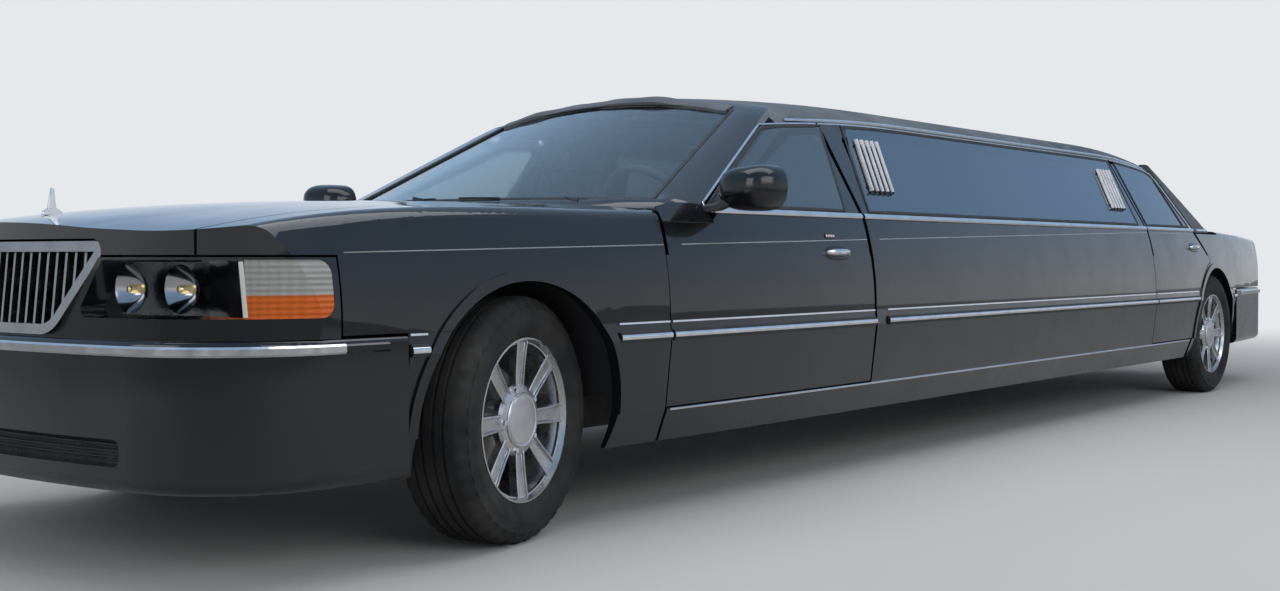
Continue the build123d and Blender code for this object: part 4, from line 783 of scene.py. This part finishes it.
def rim(end, side, body, place, way):
    name = f"{end}_{side}"
    barrel, *_ = [
        turned(f"{piece}_{name}", body, place, [(r, way * y) for r, y in profile], *look)
        for piece, *look, profile in rim_pieces
    ]
    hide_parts(f"{end}_rim_{side}")
    for k in range(spoke_count):
        turn = place @ Matrix.Rotation(2 * math.pi / spoke_count * k + math.pi / 2, 4, "Y")
        verts = []
        for r, half, face in spoke_stations:
            edge = [(-half, face - spoke_deep), (-half, face), (-half + spoke_edge * 0.8, face + 0.0012),
                    (-half + spoke_edge, face - spoke_dish)]
            section = edge + [(-t, y) for t, y in reversed(edge)]
            verts += [turn @ Vector((r, way * y, t)) for t, y in section]
        faces = [face for i in range(3) for face in between(8 * i, 8 * i + 8, 8)] + caps(8, 4)
        solid(f"rim_spoke_{name}_{k}", body, verts, faces, "wheel_metal", bevel=0.0012)


arm = front_track / 2 - kingpin_y
nut_circle, nut_radius, nut_y = 0.0885, 0.0085, 0.0765
hexagon = [Vector((math.cos(t * math.pi / 3), 0, math.sin(t * math.pi / 3))) * nut_radius for t in range(6)]
for side, way in sides:
    steered = Matrix.Rotation(steer_at_rest, 4, "Z") @ Matrix.Translation((0, way * arm, 0))
    for end, place in (
        ("front", Matrix.Translation((front_axle, way * kingpin_y, wheel_z)) @ steered),
        ("rear", Matrix.Translation((rear_axle, way * rear_track / 2, wheel_z))),
    ):
        body = f"wheel_{end}_{side}"
        tyre(f"{end}_tyre_tread_{side}", body, place, way, f"{end}_tyre_{side}")
        rim(end, side, body, place, way)
        for k in range(5):
            angle = 2 * math.pi * k / 5
            centre = Vector((nut_circle * math.cos(angle), way * nut_y, nut_circle * math.sin(angle)))
            verts = [place @ (centre + v - Vector((0, way * 0.006, 0))) for v in hexagon]
            verts += [place @ (centre + v * 0.9 + Vector((0, way * 0.009, 0))) for v in hexagon]
            solid(f"wheel_nut_{end}_{side}_{k}", body, verts, between(0, 6, 6) + caps(6, 2), "chrome")


# Windshield surround: posts, header and foot in one ring on the screen's bent face
screen_run = math.hypot(shield_foot[0] - shield_head[0], shield_head[1] - shield_foot[1])
screen_dir = Vector((shield_head[0] - shield_foot[0], 0, shield_head[1] - shield_foot[1])) / screen_run
screen_out = Vector((screen_dir.z, 0, -screen_dir.x))


def on_screen(y, run, height=0.0):
    # a place so far across, up along and out from the screen's face
    dip = arc_drop(shield_bend, y)
    return Vector((shield_foot[0], y, shield_foot[1])) + screen_dir * run + screen_out * (height - dip)


def screen_side(run):
    # how far out the screen's face reaches before it meets the window band
    y = 0.8
    for _ in range(8):
        at = on_screen(y, run)
        y = band_y(at.x, at.z)
    return y


glass_head, glass_foot = (0.585, screen_run - 0.072), (0.755, 0.205)
post_foot, post_head, header = 0.215, screen_run - 0.0505, screen_run - 0.001
inner, outer = [], []
for share in reversed(evenly(0, 1, 14)):
    bow = 1 - (1 - share) ** 2
    inner.append((glass_foot[0] * (1 - share), glass_foot[1] - 0.185 * bow))
    outer.append((screen_side(post_foot) * (1 - share), post_foot - 0.265 * bow))
for share in evenly(0, 1, 16)[1:]:
    inner.append(tuple(foot + (head - foot) * share for foot, head in zip(glass_foot, glass_head)))
    run = post_foot + (post_head - post_foot) * share
    outer.append((screen_side(run), run))
for share in evenly(0, 1, 12)[1:]:
    inner.append((glass_head[0] * (1 - share), glass_head[1] + 0.006 * share))
    outer.append((screen_side(header) * min(1, 1.09 - 1.09 * share), header))
inner += [(-y, run) for y, run in inner[-2:0:-1]]
outer += [(-y, run) for y, run in outer[-2:0:-1]]
seal_lift = 0.0025
verts, faces, count = [], [], len(inner)
for i, ((y0, run0), (y1, run1)) in enumerate(zip(inner, outer)):
    y, run = (y0 + y1) / 2, (run0 + run1) / 2
    crown = 0.0055 + 0.008 * min(1, max(0, (abs(y) - 0.61) / 0.05))
    verts += [on_screen(y0, run0, -0.012), on_screen(y0, run0, seal_lift), on_screen(y, run, crown)]
    verts += [on_screen(y1, run1, 0.001), on_screen(y1, run1, -0.03)]
    faces += between(5 * i, 5 * ((i + 1) % count), 5)
solid("windshield_surround", "root", verts, faces, "paint")
edge = [on_screen(y, run, seal_lift) for y, run in inner]
section = capsule(0.008, 0.003, 0.004)
sweep("windshield_seal", "root", edge, [screen_out] * count, section, "rubber", closed=True)
for side, way in sides:
    block(f"scuttle_{side}", "root", (2.34, way * 0.748, 0.94), (2.5595, way * 0.862, 0.9705), "paint", 0.006)
    wall = hit(["corner_lamps"], (4.0455, way * beside, lamp_middle), (0, -way, 0))[0].y - way * 0.003
    block(f"lamp_wall_{side}", "root", (4.0469, way * 0.70, 0.668), (4.0481, wall, 0.802),
          "gloss_black", 0.0002)


# Wipers lying at the foot of the windshield
def foot_x(y):
    return 2.6115 - 0.121 * (y / 0.7457) ** 2


screen = ["windshield", "windshield_frame", "cowl"]
for name, pivot_y, tip_y in (("left", 0.60, 0.06), ("right", -0.06, -0.62)):
    found = hits(screen, [(foot_x(y) - 0.035, y, above) for y in spaced(pivot_y, tip_y, 0.06)], down)
    blade = [(p + n * 0.008, n) for p, n in found]
    trace(f"wiper_blade_{name}", "root", blade, capsule(0.003, 0.007, 0.006), "black_plastic")
    arm_path = []
    for share in evenly(0, 1, 5):
        y = pivot_y - 0.02 + (tip_y + 0.28 - pivot_y) * share
        item = hit(screen, (foot_x(y) + 0.015 - 0.045 * share, y, above), down)
        if item:
            arm_path.append((item[0] + item[1] * (0.012 + 0.014 * math.sin(math.pi * share)), item[1]))
    trace(f"wiper_arm_{name}", "root", arm_path, capsule(0.004, 0.005, 0.004), "black_plastic")

# A plain upright blade on the hood's front
blade_x, blade_half = 4.061, 0.0035
base_z = hit(["hood"], (blade_x, 0, above), down)[0].z - 0.002
blade = [
    (-0.03, 0.0), (0.03, 0.0), (0.026, 0.012), (0.012, 0.02), (0.002, 0.075), (-0.006, 0.075), (-0.012, 0.02),
    (-0.028, 0.012),
]
verts = [(blade_x + x, y, base_z + z) for y in (-blade_half, blade_half) for x, z in blade]
faces = caps(len(blade), 2) + between(0, len(blade), len(blade))
solid("hood_blade", "hood_lid", verts, faces, "chrome", bevel=0.0015)


# Padded seats with sewn channels
def cushion(name, size, place, channels, crown=0.03):
    # a crowned closed pad with sewn channels, narrowing a little between its corners
    steps = (16, 20, 6)
    work = bmesh.new()
    index = {}

    def vertex(key):
        if key not in index:
            u, v, w = (2 * a / n - 1 for a, n in zip(key, steps))
            edge = [math.copysign(abs(t) ** 0.8, t) for t in (u, v, w)]
            pull = 1 - 0.03 * abs(w) ** 4
            x = edge[0] * size[0] / 2 * pull * (1 - 0.03 * (1 - v * v))
            y = edge[1] * size[1] / 2 * pull * (1 - 0.03 * (1 - u * u))
            z = edge[2] * size[2] / 2
            if w > 0:
                z += crown * (1 - u ** 4) * (1 - v ** 4) * w
                z -= 0.011 * w * (1 - u ** 6) * max(0, math.cos(math.pi * channels * (v + 1)) ** 8)
            z -= math.copysign(0.02, w) * (max(abs(u), abs(v)) ** 10) * (abs(w) > 0.99)
            index[key] = work.verts.new(place @ Vector((x, y, z)))
        return index[key]

    for axis in range(3):
        a, b = [n for n in range(3) if n != axis]
        for end in (0, steps[axis]):
            for i in range(steps[a]):
                for j in range(steps[b]):
                    corner = []
                    for di, dj in ((0, 0), (1, 0), (1, 1), (0, 1)):
                        key = [0, 0, 0]
                        key[axis], key[a], key[b] = end, i + di, j + dj
                        corner.append(vertex(tuple(key)))
                    work.faces.new(corner)
    bmesh.ops.recalc_face_normals(work, faces=work.faces)
    mesh = bpy.data.meshes.new(name)
    work.to_mesh(mesh)
    work.free()
    mesh.materials.append(materials["seat_hide"])
    for face in mesh.polygons:
        face.use_smooth = True
    obj = placed(name, mesh)
    smooth = obj.modifiers.new("smooth", "SUBSURF")
    smooth.levels = smooth.render_levels = 1
    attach(obj, "root")
    return obj


def laid(x, y, height, pitch=0, yaw=0):
    # a place above the floor, tipped back and turned by degrees
    turn = Matrix.Rotation(math.radians(yaw), 4, "Z") @ Matrix.Rotation(math.radians(pitch), 4, "Y")
    return Matrix.Translation((x, y, floor_top + height)) @ turn


floor_top, seat_height, back_height = 0.3843, 0.165, 0.53
for side, way in sides:
    y = way * 0.47
    seat_pad = cushion(f"front_cushion_{side}", (0.56, 0.45, 0.3), laid(1.72, y, seat_height), 4)
    cushion(f"front_back_{side}", (0.56, 0.44, 0.13), laid(1.365, y, back_height, 76), 4)
    cushion(f"front_headrest_{side}", (0.15, 0.26, 0.09), laid(1.262, y, 0.79, 80), 1, 0.015)
    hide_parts("front_seats")
bench = cushion("rear_bench", (0.55, 1.36, 0.3), laid(-2.09, 0, seat_height), 8)
cushion("rear_bench_back", (0.5, 1.36, 0.12), laid(-2.385, 0, back_height, 84), 8)
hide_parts("lounge_seats")
for index, x in enumerate((-1.27, -0.16)):
    cushion(f"side_bench_{index}", (1.06, 0.5, 0.3), laid(x, -0.56, seat_height), 1)
    cushion(f"side_bench_back_{index}", (0.3, 1.06, 0.11), laid(x, -0.775, 0.42, 85, 90), 6)

# Handles: a black oval recess with a bright lever over it and its lock, and the keypad
handles = {"front": (1.5495, 0.827), "rear": (-2.4605, 0.865)}
# piece, rise and shift from the middle, half length, half height and height, and look
handle_pieces = (
    ("bezel", 0, 0, (0.088, 0.028, 0.004), "gloss_black", "black_plastic", 2.6),
    ("lever", 0.004, 0.006, (0.074, 0.0145, 0.026), "chrome", None, 2.4),
    ("lock", 0.0035, -0.066, (0.009, 0.009, 0.006), "chrome", None, 2),
)
for side, way in sides:
    for end, (x, z) in handles.items():
        node, body = f"{end}_door_{side}", f"door_{end}_{side}"
        point, normal = hit([node], (x, way * beside, z), (0, -way, 0))
        along = (Vector((1, 0, 0)) - normal * normal.x).normalized()
        _, lever, _ = [
            dome(f"{end}_handle_{piece}_{side}", body, point + normal * rise + along * shift, along, normal,
                 *size, *look) for piece, rise, shift, size, *look in handle_pieces
        ]
        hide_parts(f"{end}_handle_{side}")
door, keypad_z = ("front_door_left", "door_front_left"), 0.888
side_strip("keypad", *door, 1.550, 1.617, keypad_z, 1, capsule(0.0095, 0.003), "black_plastic", 0.02)
key_section = [(s, n + 0.0028) for s, n in capsule(0.0045, 0.0012)]
for index in range(5):
    x = 1.558 + 0.0125 * index
    side_strip(f"keypad_key_{index}", *door, x, x + 0.0075, keypad_z, 1, key_section, "pale_frame", 0.01)

# Louvres: five leaning bars and two cross bars at each end of the long window
louvre_places, louvre_z = {"front": 1.03, "rear": -1.50}, 1.165
louvre_slope, louvre_half, louvre_pitch = 0.36, 0.105, 0.04
bar_section = [
    (-0.0115, 0), (-0.0115, 0.005), (-0.008, 0.013), (-0.002, 0.0165), (0.004, 0.013), (0.0115, 0.003),
    (0.0115, 0),
]
bracket_section = flat(0.007, 0, 0.007)
for side, way in sides:
    for group, middle in louvre_places.items():
        for bar in range(5):
            x0 = middle + (bar - 2) * louvre_pitch
            rises = evenly(-louvre_half, louvre_half, 6)
            path = [(x0 - louvre_slope * rise, louvre_z + rise) for rise in rises]
            piece = band_strip(f"louvre_{group}_{side}_{bar}", "root", path, way,
                               bar_section, "louvre", 0.004)
            if group == "front" and bar == 0 and way > 0:
                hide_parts("louvres")
        for end, share in (("low", -0.8), ("high", 0.8)):
            rise = louvre_half * share
            x0 = middle - louvre_slope * rise
            ends = [(x0 - 0.094, louvre_z + rise), (x0 + 0.094, louvre_z + rise)]
            band_strip(f"louvre_bracket_{group}_{side}_{end}", "root", ends, way, bracket_section,
                       "black_plastic", 0.001)

# Mirrors: a rounded shell with its glass at the back, on an arm from the door
mirror_x, mirror_z, mirror_y, mirror_half = 2.195, 1.034, (0.93, 1.162), 0.079
mirror_rings, ring_points = 17, 24
arm_section = [
    (-0.026, -0.01), (-0.026, 0.008), (-0.018, 0.014), (0.018, 0.014), (0.026, 0.008), (0.026, -0.01),
]
arm_places = ((2.285, 0.902, 0.968), (2.275, 0.945, 0.974), (2.265, 1.0, 0.995))
for side, way in sides:
    body = f"door_front_{side}"
    verts, faces = [], []
    for i in range(mirror_rings):
        u = (1 - math.cos(math.pi * i / (mirror_rings - 1))) / 2
        swell = max(0.12, (1 - abs(2 * u - 1) ** 3.4) ** 0.4)
        deep = (0.11 + 0.025 * u) * swell
        half = mirror_half * swell * (0.88 + 0.12 * u)
        y = way * (mirror_y[0] + (mirror_y[1] - mirror_y[0]) * u)
        for t in evenly(-math.pi / 2, math.pi / 2, ring_points - 1):
            c, d = math.cos(t), math.sin(t)
            z = mirror_z + 0.004 * u + half * math.copysign(abs(d) ** 0.7, d)
            verts.append((mirror_x + deep * abs(c) ** 0.62, y, z))
        if i:
            faces += between((i - 1) * ring_points, i * ring_points, ring_points)
    faces += caps(ring_points, mirror_rings)
    shell = solid(f"mirror_shell_{side}", body, verts, faces, "gloss_black")
    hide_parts(f"mirror_{side}")
    points = [Vector((x, way * y, z)) for x, y, z in arm_places]
    sweep(f"mirror_arm_{side}", body, points, [Vector((0, 0, 1))] * 3, arm_section, "black_plastic")
    dome(f"mirror_glass_{side}", body, Vector((mirror_x - 0.0005, way * 1.0515, mirror_z + 0.003)),
         Vector((0, way, 0)), Vector((-1, 0, 0)), 0.082, 0.052, 0.002, "reflector", "chrome", 4)

# Floor, fading into the backdrop away from the object for the camera and through glass
backdrop, backdrop_level = (0.88, 0.9, 0.93, 1), 0.9
fade_start, fade_stop, floor_half = 4.5, 12, 90
floor = bpy.data.materials.new("floor")
floor.use_nodes = True
tree = floor.node_tree
plain = tree.nodes["Principled BSDF"]
plain.inputs["Base Color"].default_value = (0.47, 0.47, 0.465, 1)
plain.inputs["Roughness"].default_value = 0.85
mesh = bpy.data.meshes.new("floor")
corners = [(x * floor_half, y * floor_half, 0) for x, y in ((-1, -1), (1, -1), (1, 1), (-1, 1))]
mesh.from_pydata(corners, [], [(0, 1, 2, 3)])
mesh.materials.append(floor)
ground = placed("floor", mesh)

reach = new_node(tree, "VectorMath", operation="LENGTH")
tree.links.new(new_node(tree, "TexCoord").outputs["Object"], reach.inputs[0])
fade = map_range(tree, reach.outputs["Value"], fade_start, fade_stop, interpolation_type="SMOOTHSTEP")
rays = new_node(tree, "LightPath").outputs
direct = combined(tree, "MAXIMUM", rays["Is Camera Ray"], rays["Is Transmission Ray"])
glow = new_node(tree, "Emission", Color=backdrop, Strength=backdrop_level)
blend = new_node(tree, "MixShader")
tree.links.new(combined(tree, "MULTIPLY", direct, fade), blend.inputs["Fac"])
tree.links.new(plain.outputs["BSDF"], blend.inputs[1])
tree.links.new(glow.outputs[0], blend.inputs[2])
tree.links.new(blend.outputs[0], tree.nodes["Material Output"].inputs["Surface"])

# World: the pale backdrop, bluer overhead where gloss mirrors it, dimmer as light on the object
world = bpy.data.worlds.new("world")
scene.world = world
world.use_nodes = True
sky = world.node_tree
rise = new_node(sky, "SeparateXYZ")
sky.links.new(new_node(sky, "TexCoord").outputs["Generated"], rise.inputs["Vector"])
rays = new_node(sky, "LightPath").outputs
direct = combined(sky, "MAXIMUM", rays["Is Camera Ray"], rays["Is Transmission Ray"])
seen = combined(sky, "MAXIMUM", direct, rays["Is Glossy Ray"])
level = map_range(sky, seen, 0, 1, 0.6, backdrop_level)
shade = map_range(sky, rise.outputs["Z"], 0.16, 0.8, 1.0, 0.85, interpolation_type="SMOOTHSTEP")
cool = map_range(sky, rise.outputs["Z"], 0.0, 0.3)
tint = new_node(sky, "Mix", data_type="RGBA")
tint.inputs["A"].default_value = backdrop
tint.inputs["B"].default_value = (0.42, 0.62, 0.9, 1)
sky.links.new(combined(sky, "MULTIPLY", cool, rays["Is Glossy Ray"]), tint.inputs["Factor"])
sky.links.new(tint.outputs["Result"], sky.nodes["Background"].inputs["Color"])
sky.links.new(combined(sky, "MULTIPLY", shade, level), sky.nodes["Background"].inputs["Strength"])

# Soft lamps: place, aim, size and power
for name, place, aim, size, power in (
    ("top_light", (1.5, 1.0, 6.0), (0, 0, 0.5), (9, 4), 260),
    ("side_light", (3.0, 8.0, 3.5), (0.5, 0, 0.8), (8, 3), 200),
    ("front_light", (9.5, -1.0, 3.0), (3, 0, 0.7), (4, 3), 90),
):
    lamp = bpy.data.lights.new(name, "AREA")
    lamp.shape = "RECTANGLE"
    lamp.size, lamp.size_y = size
    lamp.energy = power
    obj = placed(name, lamp)
    obj.location = place
    obj.rotation_euler = (Vector(aim) - Vector(place)).to_track_quat("-Z", "Y").to_euler()
